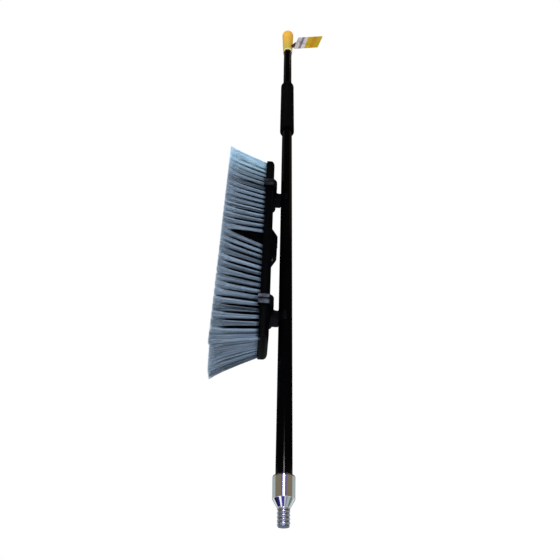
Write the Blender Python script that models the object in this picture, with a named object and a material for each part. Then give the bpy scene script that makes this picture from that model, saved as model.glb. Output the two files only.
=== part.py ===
"""Wide floor broom: a telescopic pole with a broom head clipped along it.

Units are metres and +Z runs along the pole. The origin is the middle of the flat end
face of the threaded tip. The head lies on the -X side, its bristles pointing away.
"""

import math

import bmesh
import bpy
from mathutils import Matrix, Vector

# Fits shared by all pieces
CLEARANCE = 0.0003
CUT_OVERRUN = 0.002
ROUND_SIDES = 32
SHARP_ANGLE = math.radians(30)

# Pole tubes
TUBE_DIAMETER = 0.0254
TUBE_WALL = 0.0006
INNER_TUBE_WALL = 0.0007
OUTER_TUBE_TOP = 1.140
INNER_TUBE_RISE = 0.005

# Threaded tip, a coarse trapezoidal thread of 5 turns to the inch
THREAD_DIAMETER = 0.01905
THREAD_PITCH = 0.00508
THREAD_DEPTH = 0.0016
THREAD_LENGTH = 0.0225
THREAD_LEAD_IN = 0.003
THREAD_RUN_OUT = 0.002
THREAD_ROWS = 28
THREAD_CREST_SHARE = 0.9
TIP_SIDES = 24
TIP_SEAT = 0.040
TIP_SPIGOT_TOP = 0.090
TIP_SPIGOT_WALL = 0.0025
TIP_SPIGOT_FLOOR = 0.044

# Chrome ferrule over the tip
FERRULE_DIAMETER = 0.0356
FERRULE_FOOT_DIAMETER = 0.0194
FERRULE_WALL = 0.0008
FERRULE_CONE_TOP = 0.034
FERRULE_SHOULDER = 0.0646
FERRULE_TOP = 0.0697

# Twist grip with its collet and nut
GRIP_DIAMETER = 0.0365
GRIP_LENGTH = 0.228
GRIP_SHOULDER_RISE = 0.030
GRIP_NOSE_HEIGHT = 0.006
GRIP_EDGE = 0.001
GRIP_NOSE_WALL = 0.001
GRIP_NOSE_LIP = 0.005
GRIP_FLUTES = 16
GRIP_FLUTE_DEPTH = 0.0005
GRIP_FLUTE_MARGIN = 0.010
GRIP_FLUTE_RAMP = 0.003
NOSE_ROUND_SHARES = ((0.40, 0.97), (0.75, 0.85), (0.95, 0.62))
COLLET_WALL = 0.0018
COLLET_SKIRT = 0.030
COLLET_FINGER = 0.022
COLLET_TAPER = 0.0014
COLLET_SLIT = 0.0016
COLLET_SLIT_ROOT = 0.004
NUT_WALL = 0.0016

# Guide bush in the lower end of the inner tube
BUSH_FLANGE = 0.002
BUSH_SPIGOT = 0.020
BUSH_WALL = 0.0025

# End cap with its hanging tag
CAP_TOP_DIAMETER = 0.036
CAP_FOOT_DIAMETER = 0.0285
CAP_RISE = 0.208
CAP_LENGTH = 0.124
CAP_CROWN = 0.015
CAP_EDGE = 0.001
CAP_DOME_RADIUS = 0.004
CAP_DOME_STEPS = 4
TAG_LENGTH = 0.085
TAG_WIDTH = 0.050
TAG_THICKNESS = 0.0008
TAG_STAND_OFF = 0.0009
TAG_HEIGHT = 0.032
TAG_TURN = math.radians(3)
TAG_RISE = math.radians(22)
TAG_ROLL = math.radians(24.5)
TAB_THICKNESS = 0.0012
TAB_INWARD = 0.012
TAB_OVERLAP = 0.008
TAB_WIDTH = 0.012
TAB_EDGE_DISTANCE = 0.002

# Head block
HEAD_CENTRE = 0.5265
BLOCK_LENGTH = 0.483
BLOCK_WIDTH = 0.076
BLOCK_DEPTH = 0.0175
BLOCK_BACK_DISTANCE = 0.030
BLOCK_EDGE_RADIUS = 0.008
BLOCK_CORNER_RADIUS = 0.0015
ROUND_STEPS = 4

# Handle socket let into the back of the block
SOCKET_WIDTH = 0.041
SOCKET_HEIGHT = 0.0115
SOCKET_FOOT_LENGTH = 0.074
SOCKET_FLAT_LENGTH = 0.030
SOCKET_PLUG_LENGTH = 0.048
SOCKET_PLUG_DEPTH = 0.0125
SOCKET_EDGE = 0.0007
SOCKET_TILT = math.radians(30)
SOCKET_BORE_SPACING = 0.0224
SOCKET_BORE_FLOOR = 0.0012
SOCKET_BORE_SIDES = 24
SCREW_SPACING = 0.059
SCREW_HEAD_DIAMETER = 0.0076
SCREW_HEAD_HEIGHT = 0.0022
SCREW_SEAT = 0.001
SCREW_DIAMETER = 0.004
SCREW_DEPTH = 0.011
SCREW_SIDES = 16

# Bristles
PLATE_DEPTH = 0.003
BRISTLE_REACH = 0.080
STRAND_WIDTH = 0.0022
STRAND_TIP_SHARE = 1.3
TUFTS_PER_GROUP = 16
TUFT_STRAND_SPACING = 0.0032
TUFT_NEAR_DISTANCE = 0.0282
TUFT_END_MARGIN = 0.0057
TUFT_ROW_OFFSET = 0.029
TUFT_LEAN = math.radians(17)
TUFT_FAN_NEAR = math.radians(-13.5)
TUFT_FAN_FAR = math.radians(24)
TUFT_SPREAD_SHARE = 2.6
INNER_ROWS = 15
INNER_NEAR_DISTANCE = 0.0075
INNER_END_MARGIN = 0.0085
INNER_COLUMN_SPACING = 0.0145
INNER_LEAN = math.radians(8.5)

# Clips that hold the head on the pole
LOWER_CLIP_INSET = 0.0548
UPPER_CLIP_INSET = 0.0682
CLIP_SADDLE_RISE = 0.0125
CLIP_SADDLE_LENGTH = 0.022
CLIP_BACK_WALL = 0.0049
CLIP_SIDE_WALL = 0.0028
CLIP_CORNER_RADIUS = 0.011
CLIP_LIP_DEPTH = 0.0042
CLIP_LIP_HOLD = 0.003
CLIP_SIDE_RIB = 0.0015
CLIP_BACK_RIB = 0.002
CLIP_RIB_SHARES = (
    (0.0, 0.2),
    (0.07, 1.0),
    (0.42, 1.0),
    (0.48, 0.0),
    (0.60, 0.0),
    (0.66, 1.0),
    (0.93, 1.0),
    (1.0, 0.2),
)
CLIP_RING_WALL = 0.0027
CLIP_RING_ARM = 0.0014
CLIP_WEB_WIDTH = 0.026
CLIP_WEB_HEIGHT = 0.0195
CLIP_WEB_FILLET = 0.006

# Sizes that follow from the ones above
OUTER_RADIUS = TUBE_DIAMETER / 2
OUTER_BORE = OUTER_RADIUS - TUBE_WALL
INNER_RADIUS = OUTER_BORE - CLEARANCE
INNER_BORE = INNER_RADIUS - INNER_TUBE_WALL
TUBE_SEAT_RADIUS = OUTER_RADIUS + CLEARANCE
INNER_SEAT_RADIUS = INNER_RADIUS + CLEARANCE
FERRULE_RADIUS = FERRULE_DIAMETER / 2
COLLET_RADIUS = TUBE_SEAT_RADIUS + COLLET_WALL
COLLET_TOP = OUTER_TUBE_TOP + CLEARANCE + COLLET_FINGER
NUT_RADIUS = COLLET_RADIUS + CLEARANCE + NUT_WALL
INNER_TUBE_BOTTOM = TIP_SPIGOT_TOP + INNER_TUBE_RISE
GRIP_SHOULDER = OUTER_TUBE_TOP + GRIP_SHOULDER_RISE
GRIP_TOP = GRIP_SHOULDER + GRIP_NOSE_HEIGHT
GRIP_BOTTOM = GRIP_TOP - GRIP_LENGTH
CAP_FOOT = GRIP_TOP + CAP_RISE
CAP_TOP = CAP_FOOT + CAP_LENGTH
INNER_TUBE_TOP = CAP_TOP - CAP_CROWN
TAG_CORNER = (CAP_TOP_DIAMETER / 2 + TAG_STAND_OFF, 0.0, CAP_FOOT + TAG_HEIGHT)
BLOCK_BOTTOM = HEAD_CENTRE - BLOCK_LENGTH / 2
BLOCK_TOP = HEAD_CENTRE + BLOCK_LENGTH / 2
LOWER_CLIP_BOTTOM = BLOCK_BOTTOM + LOWER_CLIP_INSET
CLIP_LENGTH = CLIP_SADDLE_RISE + CLIP_SADDLE_LENGTH
UPPER_CLIP_BOTTOM = BLOCK_TOP - UPPER_CLIP_INSET - CLIP_LENGTH
TUFT_FAR_DISTANCE = BLOCK_LENGTH / 2 - TUFT_END_MARGIN
INNER_FAR_DISTANCE = BLOCK_LENGTH / 2 - INNER_END_MARGIN
BLOCK_BACK_X = -BLOCK_BACK_DISTANCE
BLOCK_FACE_X = BLOCK_BACK_X - BLOCK_DEPTH
BLOCK_HALF = BLOCK_WIDTH / 2
BORE_RADIUS = THREAD_DIAMETER / 2 + CLEARANCE
SOCKET_BASE_X = BLOCK_BACK_X + CLEARANCE
SOCKET_TOP_X = BLOCK_BACK_X + SOCKET_HEIGHT
SOCKET_PLUG_X = BLOCK_BACK_X - SOCKET_PLUG_DEPTH


def clear_scene():
    for obj in list(bpy.data.objects):
        bpy.data.objects.remove(obj)


def make_material(name, colour, roughness, metallic=0.0):
    made = bpy.data.materials.new(name)
    made.use_nodes = True
    shader = made.node_tree.nodes["Principled BSDF"]
    shader.inputs["Base Color"].default_value = (*colour, 1.0)
    shader.inputs["Roughness"].default_value = roughness
    shader.inputs["Metallic"].default_value = metallic
    return made


def make_object(name, bm, material, parent=None, location=(0.0, 0.0, 0.0)):
    """One named object from a bmesh, its faces turned out and round parts shaded smooth."""
    bmesh.ops.recalc_face_normals(bm, faces=bm.faces)
    mesh = bpy.data.meshes.new(name)
    bm.to_mesh(mesh)
    bm.free()
    mesh.shade_smooth()
    mesh.set_sharp_from_angle(angle=SHARP_ANGLE)
    mesh.materials.append(material)
    obj = bpy.data.objects.new(name, mesh)
    obj.location = location
    obj.parent = parent
    bpy.context.collection.objects.link(obj)
    return obj


def make_empty(name, location):
    empty = bpy.data.objects.new(name, None)
    empty.location = location
    bpy.context.collection.objects.link(empty)
    return empty


def combine(obj, helper, operation):
    """A Boolean on obj with a helper solid, which stays out of the render."""
    helper.hide_render = True
    helper.display_type = "WIRE"
    modifier = obj.modifiers.new(helper.name, "BOOLEAN")
    modifier.operation = operation
    modifier.object = helper


def bridge(bm, first, second):
    """A band of faces between two rings with as many points each."""
    count = len(first)
    for i in range(count):
        j = (i + 1) % count
        bm.faces.new((first[i], first[j], second[j], second[i]))


def add_loft(bm, rings, closed=False):
    """A skin through rings of points: joined round on itself, or capped at both ends."""
    made = [[bm.verts.new(point) for point in ring] for ring in rings]
    for first, second in zip(made, made[1:]):
        bridge(bm, first, second)
    if closed:
        bridge(bm, made[-1], made[0])
    else:
        bm.faces.new(made[0])
        bm.faces.new(made[-1])


def ring_points(radius, z, sides):
    """One ring of a turned piece. The radius may be a function of angle and height."""
    points = []
    for i in range(sides):
        angle = math.tau * i / sides
        r = radius(angle, z) if callable(radius) else radius
        points.append((r * math.cos(angle), r * math.sin(angle), z))
    return points


def turned(name, rows, material, closed, sides=ROUND_SIDES, parent=None):
    """A piece turned about the pole's axis from (radius, height) rows."""
    bm = bmesh.new()
    add_loft(bm, [ring_points(radius, z, sides) for radius, z in rows], closed)
    return make_object(name, bm, material, parent)


def add_box(bm, low, high):
    """A box between two opposite corners."""
    rings = []
    for z in (low[2], high[2]):
        rings.append([(low[0], low[1], z), (high[0], low[1], z)])
        rings[-1] += [(high[0], high[1], z), (low[0], high[1], z)]
    add_loft(bm, rings)


def add_prism(bm, outline, low, high, axis):
    """An outline drawn across an axis and drawn out along it. Axis is 1 for Y or 2 for Z."""
    rings = []
    for along in (low, high):
        if axis == 1:
            rings.append([(x, along, z) for x, z in outline])
        else:
            rings.append([(x, y, along) for x, y in outline])
    add_loft(bm, rings)


def arc(centre, radius, start, end, steps):
    """Points on a round stretch, both ends included. Angles are in degrees."""
    points = []
    for i in range(steps + 1):
        angle = math.radians(start + (end - start) * i / steps)
        points.append((centre[0] + radius * math.cos(angle), centre[1] + radius * math.sin(angle)))
    return points


def clamp(value):
    return max(0.0, min(1.0, value))


def thread_radius(angle, z):
    """Right-hand thread that rises out of its root and fades before the ferrule."""
    top = THREAD_LENGTH - CLEARANCE
    wave = math.cos(math.tau * (z / THREAD_PITCH - angle / math.tau))
    ridge = clamp((1 + wave) / 2 / THREAD_CREST_SHARE)
    rise = clamp(z / THREAD_LEAD_IN) * clamp((top - z) / THREAD_RUN_OUT)
    return THREAD_DIAMETER / 2 - THREAD_DEPTH * (1 - ridge * rise)


def cone_slope():
    """How fast the ferrule's cone widens with height."""
    rise = FERRULE_CONE_TOP - THREAD_LENGTH
    return (FERRULE_RADIUS - FERRULE_FOOT_DIAMETER / 2) / rise


def cone_inset(depth):
    """Radius, at the cone's foot, of the cone that lies this deep under the ferrule's face."""
    return FERRULE_FOOT_DIAMETER / 2 - depth * math.hypot(1, cone_slope())


def make_tip(material):
    """Cast tip: thread, cone, a skirt round the tube and a hollow spigot inside it."""
    skirt = FERRULE_RADIUS - FERRULE_WALL - CLEARANCE
    neck = cone_inset(FERRULE_WALL + CLEARANCE)
    thread_top = THREAD_LENGTH - CLEARANCE
    spigot_bore = INNER_RADIUS - TIP_SPIGOT_WALL
    rows = [(thread_radius, thread_top * i / THREAD_ROWS) for i in range(THREAD_ROWS)]
    rows += [
        (neck, thread_top),
        (neck, THREAD_LENGTH),
        (skirt, THREAD_LENGTH + (skirt - neck) / cone_slope()),
        (skirt, FERRULE_SHOULDER - CLEARANCE),
        (TUBE_SEAT_RADIUS, FERRULE_SHOULDER - CLEARANCE),
        (TUBE_SEAT_RADIUS, TIP_SEAT),
        (INNER_RADIUS, TIP_SEAT),
        (INNER_RADIUS, TIP_SPIGOT_TOP),
        (spigot_bore, TIP_SPIGOT_TOP),
        (spigot_bore, TIP_SPIGOT_FLOOR),
    ]
    return turned("threaded_tip", rows, material, False, TIP_SIDES)


def make_ferrule(material):
    """Chromed cup over the tip: cone, straight collar and a shoulder in to the tube."""
    inside = FERRULE_RADIUS - FERRULE_WALL
    hole = cone_inset(FERRULE_WALL)
    rows = [
        (hole, THREAD_LENGTH),
        (FERRULE_FOOT_DIAMETER / 2, THREAD_LENGTH),
        (FERRULE_RADIUS, FERRULE_CONE_TOP),
        (FERRULE_RADIUS, FERRULE_SHOULDER),
        (TUBE_SEAT_RADIUS + FERRULE_WALL, FERRULE_TOP),
        (TUBE_SEAT_RADIUS, FERRULE_TOP),
        (inside, FERRULE_SHOULDER),
        (inside, THREAD_LENGTH + (inside - hole) / cone_slope()),
    ]
    return turned("tip_ferrule", rows, material, True)


def make_tube(name, bore, radius, bottom, top, material, parent=None):
    rows = [(bore, bottom), (radius, bottom), (radius, top), (bore, top)]
    return turned(name, rows, material, True, parent=parent)


def make_collet(material):
    """Skirt over the end of the outer tube, with four fingers that close on the inner tube."""
    rows = [
        (TUBE_SEAT_RADIUS, OUTER_TUBE_TOP - COLLET_SKIRT),
        (COLLET_RADIUS, OUTER_TUBE_TOP - COLLET_SKIRT),
        (COLLET_RADIUS, OUTER_TUBE_TOP),
        (COLLET_RADIUS - COLLET_TAPER, COLLET_TOP),
        (INNER_SEAT_RADIUS, COLLET_TOP),
        (INNER_SEAT_RADIUS, OUTER_TUBE_TOP + CLEARANCE),
        (TUBE_SEAT_RADIUS, OUTER_TUBE_TOP + CLEARANCE),
    ]
    collet = turned("lock_collet", rows, material, True)
    cutter = bmesh.new()
    low_z = OUTER_TUBE_TOP + CLEARANCE + COLLET_SLIT_ROOT
    high_z = COLLET_TOP + CUT_OVERRUN
    long = COLLET_RADIUS + CUT_OVERRUN
    half = COLLET_SLIT / 2
    for reach in ((long, half), (half, long)):
        add_box(cutter, (-reach[0], -reach[1], low_z), (reach[0], reach[1], high_z))
    slits = make_object("collet_slits", cutter, material)
    combine(collet, slits, "DIFFERENCE")
    return collet


def make_nut(material, parent):
    """Tapered ring inside the grip that squeezes the collet's fingers."""
    bottom = OUTER_TUBE_TOP - COLLET_SKIRT
    rows = [
        (COLLET_RADIUS + CLEARANCE, bottom),
        (NUT_RADIUS, bottom),
        (NUT_RADIUS, COLLET_TOP),
        (COLLET_RADIUS - COLLET_TAPER + CLEARANCE, COLLET_TOP),
        (COLLET_RADIUS + CLEARANCE, OUTER_TUBE_TOP),
    ]
    return turned("lock_nut", rows, material, True, parent=parent)


def flute_radius(angle, z):
    """The grip's surface along its flutes."""
    dip = GRIP_FLUTE_DEPTH * (1 - math.cos(GRIP_FLUTES * angle)) / 2
    return GRIP_DIAMETER / 2 - dip


def make_grip(material, parent):
    """Long fluted sleeve with a blunt nose, bored for the tube and for the nut."""
    radius = GRIP_DIAMETER / 2
    nose = INNER_SEAT_RADIUS + GRIP_NOSE_WALL
    chamber = NUT_RADIUS + CLEARANCE
    chamber_floor = OUTER_TUBE_TOP - COLLET_SKIRT - CLEARANCE
    low_flute = GRIP_BOTTOM + GRIP_FLUTE_MARGIN
    high_flute = GRIP_SHOULDER - GRIP_FLUTE_MARGIN
    rows = [
        (TUBE_SEAT_RADIUS, GRIP_BOTTOM),
        (radius - GRIP_EDGE, GRIP_BOTTOM),
        (radius, GRIP_BOTTOM + GRIP_EDGE),
        (radius, low_flute),
        (flute_radius, low_flute + GRIP_FLUTE_RAMP),
        (flute_radius, high_flute - GRIP_FLUTE_RAMP),
        (radius, high_flute),
        (radius, GRIP_SHOULDER),
    ]
    for up_share, out_share in NOSE_ROUND_SHARES:
        height = GRIP_SHOULDER + up_share * (GRIP_TOP - GRIP_SHOULDER)
        rows.append((nose + out_share * (radius - nose), height))
    rows += [
        (nose, GRIP_TOP),
        (INNER_SEAT_RADIUS, GRIP_TOP),
        (INNER_SEAT_RADIUS, GRIP_TOP - GRIP_NOSE_LIP),
        (chamber, COLLET_TOP + CLEARANCE),
        (chamber, chamber_floor),
        (TUBE_SEAT_RADIUS, chamber_floor),
    ]
    return turned("grip_sleeve", rows, material, True, parent=parent)


def make_bush(material, parent):
    """Guide plug in the lower end of the inner tube, its flange running in the outer tube."""
    spigot = INNER_BORE - CLEARANCE
    seat = INNER_TUBE_BOTTOM - CLEARANCE
    rows = [
        (spigot - BUSH_WALL, seat - BUSH_FLANGE),
        (INNER_RADIUS, seat - BUSH_FLANGE),
        (INNER_RADIUS, seat),
        (spigot, seat),
        (spigot, seat + BUSH_SPIGOT),
        (spigot - BUSH_WALL, seat + BUSH_SPIGOT),
    ]
    return turned("inner_bush", rows, material, True, parent=parent)


def make_cap(material, parent):
    """Closed cap over the top of the inner tube, a cone that widens towards its top."""
    foot = CAP_FOOT_DIAMETER / 2
    top = CAP_TOP_DIAMETER / 2
    rows = [
        (INNER_SEAT_RADIUS, INNER_TUBE_TOP + CLEARANCE),
        (INNER_SEAT_RADIUS, CAP_FOOT),
        (foot - CAP_EDGE, CAP_FOOT),
        (foot, CAP_FOOT + CAP_EDGE),
    ]
    dome = (top - CAP_DOME_RADIUS, CAP_TOP - CAP_DOME_RADIUS)
    rows += arc(dome, CAP_DOME_RADIUS, 0, 90, CAP_DOME_STEPS)
    return turned("end_cap", rows, material, False, parent=parent)


def tag_frame():
    """Where the tag stands: local X along its length, local -Y across it."""
    turn = Matrix.Rotation(TAG_TURN, 4, "Z")
    rise = Matrix.Rotation(-TAG_RISE, 4, "Y")
    roll = Matrix.Rotation(TAG_ROLL, 4, "X")
    return Matrix.Translation(TAG_CORNER) @ turn @ rise @ roll


def make_tag(material, parent):
    """Stiff card that stands out from the cap."""
    bm = bmesh.new()
    half = TAG_THICKNESS / 2
    add_box(bm, (0.0, -TAG_WIDTH, -half), (TAG_LENGTH, 0.0, half))
    bm.transform(tag_frame())
    return make_object("hang_tag", bm, material, parent)


def make_tab(material, parent):
    """Strap between the cap's side and the tag, cut to the cap's cone."""
    bm = bmesh.new()
    low = TAG_THICKNESS / 2 + CLEARANCE
    near = -TAB_EDGE_DISTANCE
    add_box(bm, (-TAB_INWARD, near - TAB_WIDTH, low), (TAB_OVERLAP, near, low + TAB_THICKNESS))
    bm.transform(tag_frame())
    tab = make_object("tag_tab", bm, material, parent)
    rows = [
        (CAP_FOOT_DIAMETER / 2 + 2 * CLEARANCE, CAP_FOOT),
        (CAP_TOP_DIAMETER / 2 + 2 * CLEARANCE, CAP_TOP),
    ]
    room = turned("cap_room", rows, material, False)
    combine(tab, room, "DIFFERENCE")
    return tab


def rounded_rectangle(x, half_y, half_z, radius):
    """A ring across X with round corners, centred on the head."""
    points = []
    corners = ((1, 1, 0), (-1, 1, 90), (-1, -1, 180), (1, -1, 270))
    for side_y, side_z, start in corners:
        centre = (side_y * (half_y - radius), side_z * (half_z - radius))
        for y, z in arc(centre, radius, start, start + 90, ROUND_STEPS):
            points.append((x, y, HEAD_CENTRE + z))
    return points


def make_block(material, parent):
    """Moulded block with rounded back edges, recessed for the bristle plates and the socket."""
    half_length = BLOCK_LENGTH / 2
    rings = [rounded_rectangle(BLOCK_FACE_X, BLOCK_HALF, half_length, BLOCK_CORNER_RADIUS)]
    for x, inset in arc((BLOCK_BACK_X - BLOCK_EDGE_RADIUS, 0.0), BLOCK_EDGE_RADIUS, 90, 0, ROUND_STEPS):
        shrink = BLOCK_EDGE_RADIUS - inset
        ring = rounded_rectangle(x, BLOCK_HALF - shrink, half_length - shrink, BLOCK_CORNER_RADIUS)
        rings.append(ring)
    bm = bmesh.new()
    add_loft(bm, rings)
    block = make_object("head_block", bm, material, parent)

    cutter = bmesh.new()
    floor = BLOCK_FACE_X + PLATE_DEPTH + CLEARANCE
    for columns, rows in bristle_layouts().values():
        low_y, high_y, low_z, high_z = plate_extent(columns, rows)
        low = (BLOCK_FACE_X - CUT_OVERRUN, low_y - CLEARANCE, low_z - CLEARANCE)
        add_box(cutter, low, (floor, high_y + CLEARANCE, high_z + CLEARANCE))
    combine(block, make_object("bristle_recesses", cutter, material), "DIFFERENCE")

    cutter = bmesh.new()
    half_y = SOCKET_WIDTH / 2 + CLEARANCE
    half_z = SOCKET_PLUG_LENGTH / 2 + CLEARANCE
    low = (SOCKET_PLUG_X - CLEARANCE, -half_y, HEAD_CENTRE - half_z)
    add_box(cutter, low, (BLOCK_BACK_X + CUT_OVERRUN, half_y, HEAD_CENTRE + half_z))
    for z in screw_heights():
        top = BLOCK_BACK_X + CUT_OVERRUN
        add_cylinder_x(cutter, SCREW_DIAMETER / 2 + CLEARANCE, screw_tip_x() - CLEARANCE, top, z)
    combine(block, make_object("socket_pocket", cutter, material), "DIFFERENCE")
    return block


def screw_heights():
    return (HEAD_CENTRE - SCREW_SPACING / 2, HEAD_CENTRE + SCREW_SPACING / 2)


def screw_seat_x():
    """Height of the face that a screw's head bears on."""
    return SOCKET_BASE_X + SCREW_SEAT


def screw_tip_x():
    return screw_seat_x() + CLEARANCE - SCREW_DEPTH


def add_cylinder_x(bm, radius, low, high, z):
    """A round bar along X at this height on the head."""
    rings = []
    for x in (low, high):
        points = arc((0.0, z), radius, 0, 360, SCREW_SIDES)[:-1]
        rings.append([(x, y, height) for y, height in points])
    add_loft(bm, rings)


def make_socket(material, parent):
    """Handle socket: a raised boss over a plug, with two bores that lean to either side."""
    plug = SOCKET_PLUG_LENGTH / 2
    foot = SOCKET_FOOT_LENGTH / 2
    flat = SOCKET_FLAT_LENGTH / 2
    half_outline = [(SOCKET_PLUG_X, plug), (SOCKET_BASE_X, plug)]
    half_outline += [(SOCKET_BASE_X, foot), (SOCKET_TOP_X, flat)]
    outline = [(x, HEAD_CENTRE + z) for x, z in half_outline]
    outline += [(x, HEAD_CENTRE - z) for x, z in reversed(half_outline)]
    bm = bmesh.new()
    add_prism(bm, outline, -SOCKET_WIDTH / 2, SOCKET_WIDTH / 2, 1)
    socket = make_object("handle_socket", bm, material, parent)
    bevel = socket.modifiers.new("edges", "BEVEL")
    bevel.width = SOCKET_EDGE
    bevel.segments = 2

    cutter = bmesh.new()
    low_edge = BORE_RADIUS * math.sin(SOCKET_TILT)
    middle_x = (SOCKET_TOP_X + SOCKET_PLUG_X + SOCKET_BORE_FLOOR) / 2
    below = (middle_x - SOCKET_PLUG_X - SOCKET_BORE_FLOOR - low_edge) / math.cos(SOCKET_TILT)
    above = (SOCKET_TOP_X - middle_x + low_edge) / math.cos(SOCKET_TILT) + CUT_OVERRUN
    for side in (-1, 1):
        rings = []
        for along in (-below, above):
            points = arc((0.0, 0.0), BORE_RADIUS, 0, 360, SOCKET_BORE_SIDES)[:-1]
            rings.append([(along, y, z) for y, z in points])
        bore = bmesh.new()
        add_loft(bore, rings)
        centre = Vector((middle_x, 0.0, HEAD_CENTRE + side * SOCKET_BORE_SPACING / 2))
        turn = Matrix.Rotation(side * SOCKET_TILT, 4, "Z")
        bore.transform(Matrix.Translation(centre) @ turn)
        joined = bpy.data.meshes.new("bore")
        bore.to_mesh(joined)
        bore.free()
        cutter.from_mesh(joined)
        bpy.data.meshes.remove(joined)
    for z in screw_heights():
        top = SOCKET_TOP_X + CUT_OVERRUN
        add_cylinder_x(cutter, SCREW_HEAD_DIAMETER / 2 + CLEARANCE, screw_seat_x(), top, z)
    combine(socket, make_object("socket_bores", cutter, material), "DIFFERENCE")

    cutter = bmesh.new()
    for z in screw_heights():
        low = SOCKET_BASE_X - CUT_OVERRUN
        high = screw_seat_x() + CUT_OVERRUN
        add_cylinder_x(cutter, SCREW_DIAMETER / 2 + CLEARANCE, low, high, z)
    combine(socket, make_object("socket_screw_holes", cutter, material), "DIFFERENCE")
    return socket


def make_screws(material, parent):
    """Two screws that hold the socket to the block."""
    seat = screw_seat_x() + CLEARANCE
    head = SCREW_HEAD_DIAMETER / 2
    shank = SCREW_DIAMETER / 2
    stations = ((screw_tip_x(), shank), (seat, shank), (seat, head), (seat + SCREW_HEAD_HEIGHT, head))
    for name, z in zip(("socket_screw_lower", "socket_screw_upper"), screw_heights()):
        rings = []
        for x, radius in stations:
            points = arc((0.0, 0.0), radius, 0, 360, SCREW_SIDES)[:-1]
            rings.append([(x, y, height) for y, height in points])
        bm = bmesh.new()
        add_loft(bm, rings)
        make_object(name, bm, material, parent, (0.0, 0.0, z))


def spaced(near, far, count):
    return [near + (far - near) * i / (count - 1) for i in range(count)]


def bristle_layouts():
    """Strand places of each bristle node: a list across the head and a list along it."""
    half = TUFT_STRAND_SPACING / 2
    layouts = {}
    for end_name, end in (("lower", -1), ("upper", 1)):
        distances = spaced(TUFT_NEAR_DISTANCE, TUFT_FAR_DISTANCE, TUFTS_PER_GROUP)
        tufts = sorted(HEAD_CENTRE + end * distance for distance in distances)
        rows = [z + shift for z in tufts for shift in (-half, half)]
        for side_name, side in (("front", -1), ("rear", 1)):
            columns = [side * TUFT_ROW_OFFSET - half, side * TUFT_ROW_OFFSET + half]
            layouts[f"{side_name}_bristles_{end_name}"] = (columns, rows)
        distances = spaced(INNER_NEAR_DISTANCE, INNER_FAR_DISTANCE, INNER_ROWS)
        rows = sorted(HEAD_CENTRE + end * distance for distance in distances)
        columns = [-INNER_COLUMN_SPACING, 0.0, INNER_COLUMN_SPACING]
        layouts[f"inner_bristles_{end_name}"] = (columns, rows)
    return layouts


def plate_extent(columns, rows):
    """Lowest and highest Y, then Z, of the plate that a set of strands stands on."""
    half = STRAND_WIDTH / 2
    return columns[0] - half, columns[-1] + half, rows[0] - half, rows[-1] + half


def tuft_tip(y, z):
    """Where the strand that starts at this place in an outer row ends."""
    side = math.copysign(1, y)
    end = math.copysign(1, z - HEAD_CENTRE)
    pitch = (TUFT_FAR_DISTANCE - TUFT_NEAR_DISTANCE) / (TUFTS_PER_GROUP - 1)
    number = round((abs(z - HEAD_CENTRE) - TUFT_NEAR_DISTANCE) / pitch)
    tuft_z = HEAD_CENTRE + end * (TUFT_NEAR_DISTANCE + number * pitch)
    share = number / (TUFTS_PER_GROUP - 1)
    fan = TUFT_FAN_NEAR + share * (TUFT_FAN_FAR - TUFT_FAN_NEAR)
    tuft_y = side * TUFT_ROW_OFFSET
    tip_y = tuft_y + side * BRISTLE_REACH * math.tan(TUFT_LEAN) + TUFT_SPREAD_SHARE * (y - tuft_y)
    tip_z = tuft_z + end * BRISTLE_REACH * math.tan(fan) + TUFT_SPREAD_SHARE * (z - tuft_z)
    return tip_y, tip_z


def inner_tip(y, z):
    """Where the strand that starts at this place in an inner row ends."""
    lean = BRISTLE_REACH * math.tan(INNER_LEAN) * y / INNER_COLUMN_SPACING
    fan = BRISTLE_REACH * math.tan(TUFT_FAN_FAR) * (z - HEAD_CENTRE) / INNER_FAR_DISTANCE
    return y + lean, z + fan


def make_bristles(name, columns, rows, tip_of, material, parent):
    """Strands that stand on a thin plate, one for each meeting of a column and a row."""
    half = STRAND_WIDTH / 2
    tip_half = half * STRAND_TIP_SHARE
    edges_y = [y + shift for y in columns for shift in (-half, half)]
    edges_z = [z + shift for z in rows for shift in (-half, half)]
    bm = bmesh.new()
    grid = [[bm.verts.new((BLOCK_FACE_X, y, z)) for z in edges_z] for y in edges_y]
    for i in range(len(edges_y) - 1):
        for j in range(len(edges_z) - 1):
            cell = [grid[i][j], grid[i + 1][j], grid[i + 1][j + 1], grid[i][j + 1]]
            if i % 2 or j % 2:
                bm.faces.new(cell)
                continue
            tip_y, tip_z = tip_of(columns[i // 2], rows[j // 2])
            low_y, high_y = tip_y - tip_half, tip_y + tip_half
            low_z, high_z = tip_z - tip_half, tip_z + tip_half
            corners = ((low_y, low_z), (high_y, low_z), (high_y, high_z), (low_y, high_z))
            tip = [bm.verts.new((BLOCK_FACE_X - BRISTLE_REACH, y, z)) for y, z in corners]
            bridge(bm, cell, tip)
            bm.faces.new(tip)
    last_y, last_z = len(edges_y) - 1, len(edges_z) - 1
    rim = [grid[i][0] for i in range(last_y)] + [grid[last_y][j] for j in range(last_z)]
    rim += [grid[i][last_z] for i in range(last_y, 0, -1)] + [grid[0][j] for j in range(last_z, 0, -1)]
    back = [bm.verts.new(v.co + Vector((PLATE_DEPTH, 0.0, 0.0))) for v in rim]
    bridge(bm, rim, back)
    bm.faces.new(back)
    return make_object(name, bm, material, parent)


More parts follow.
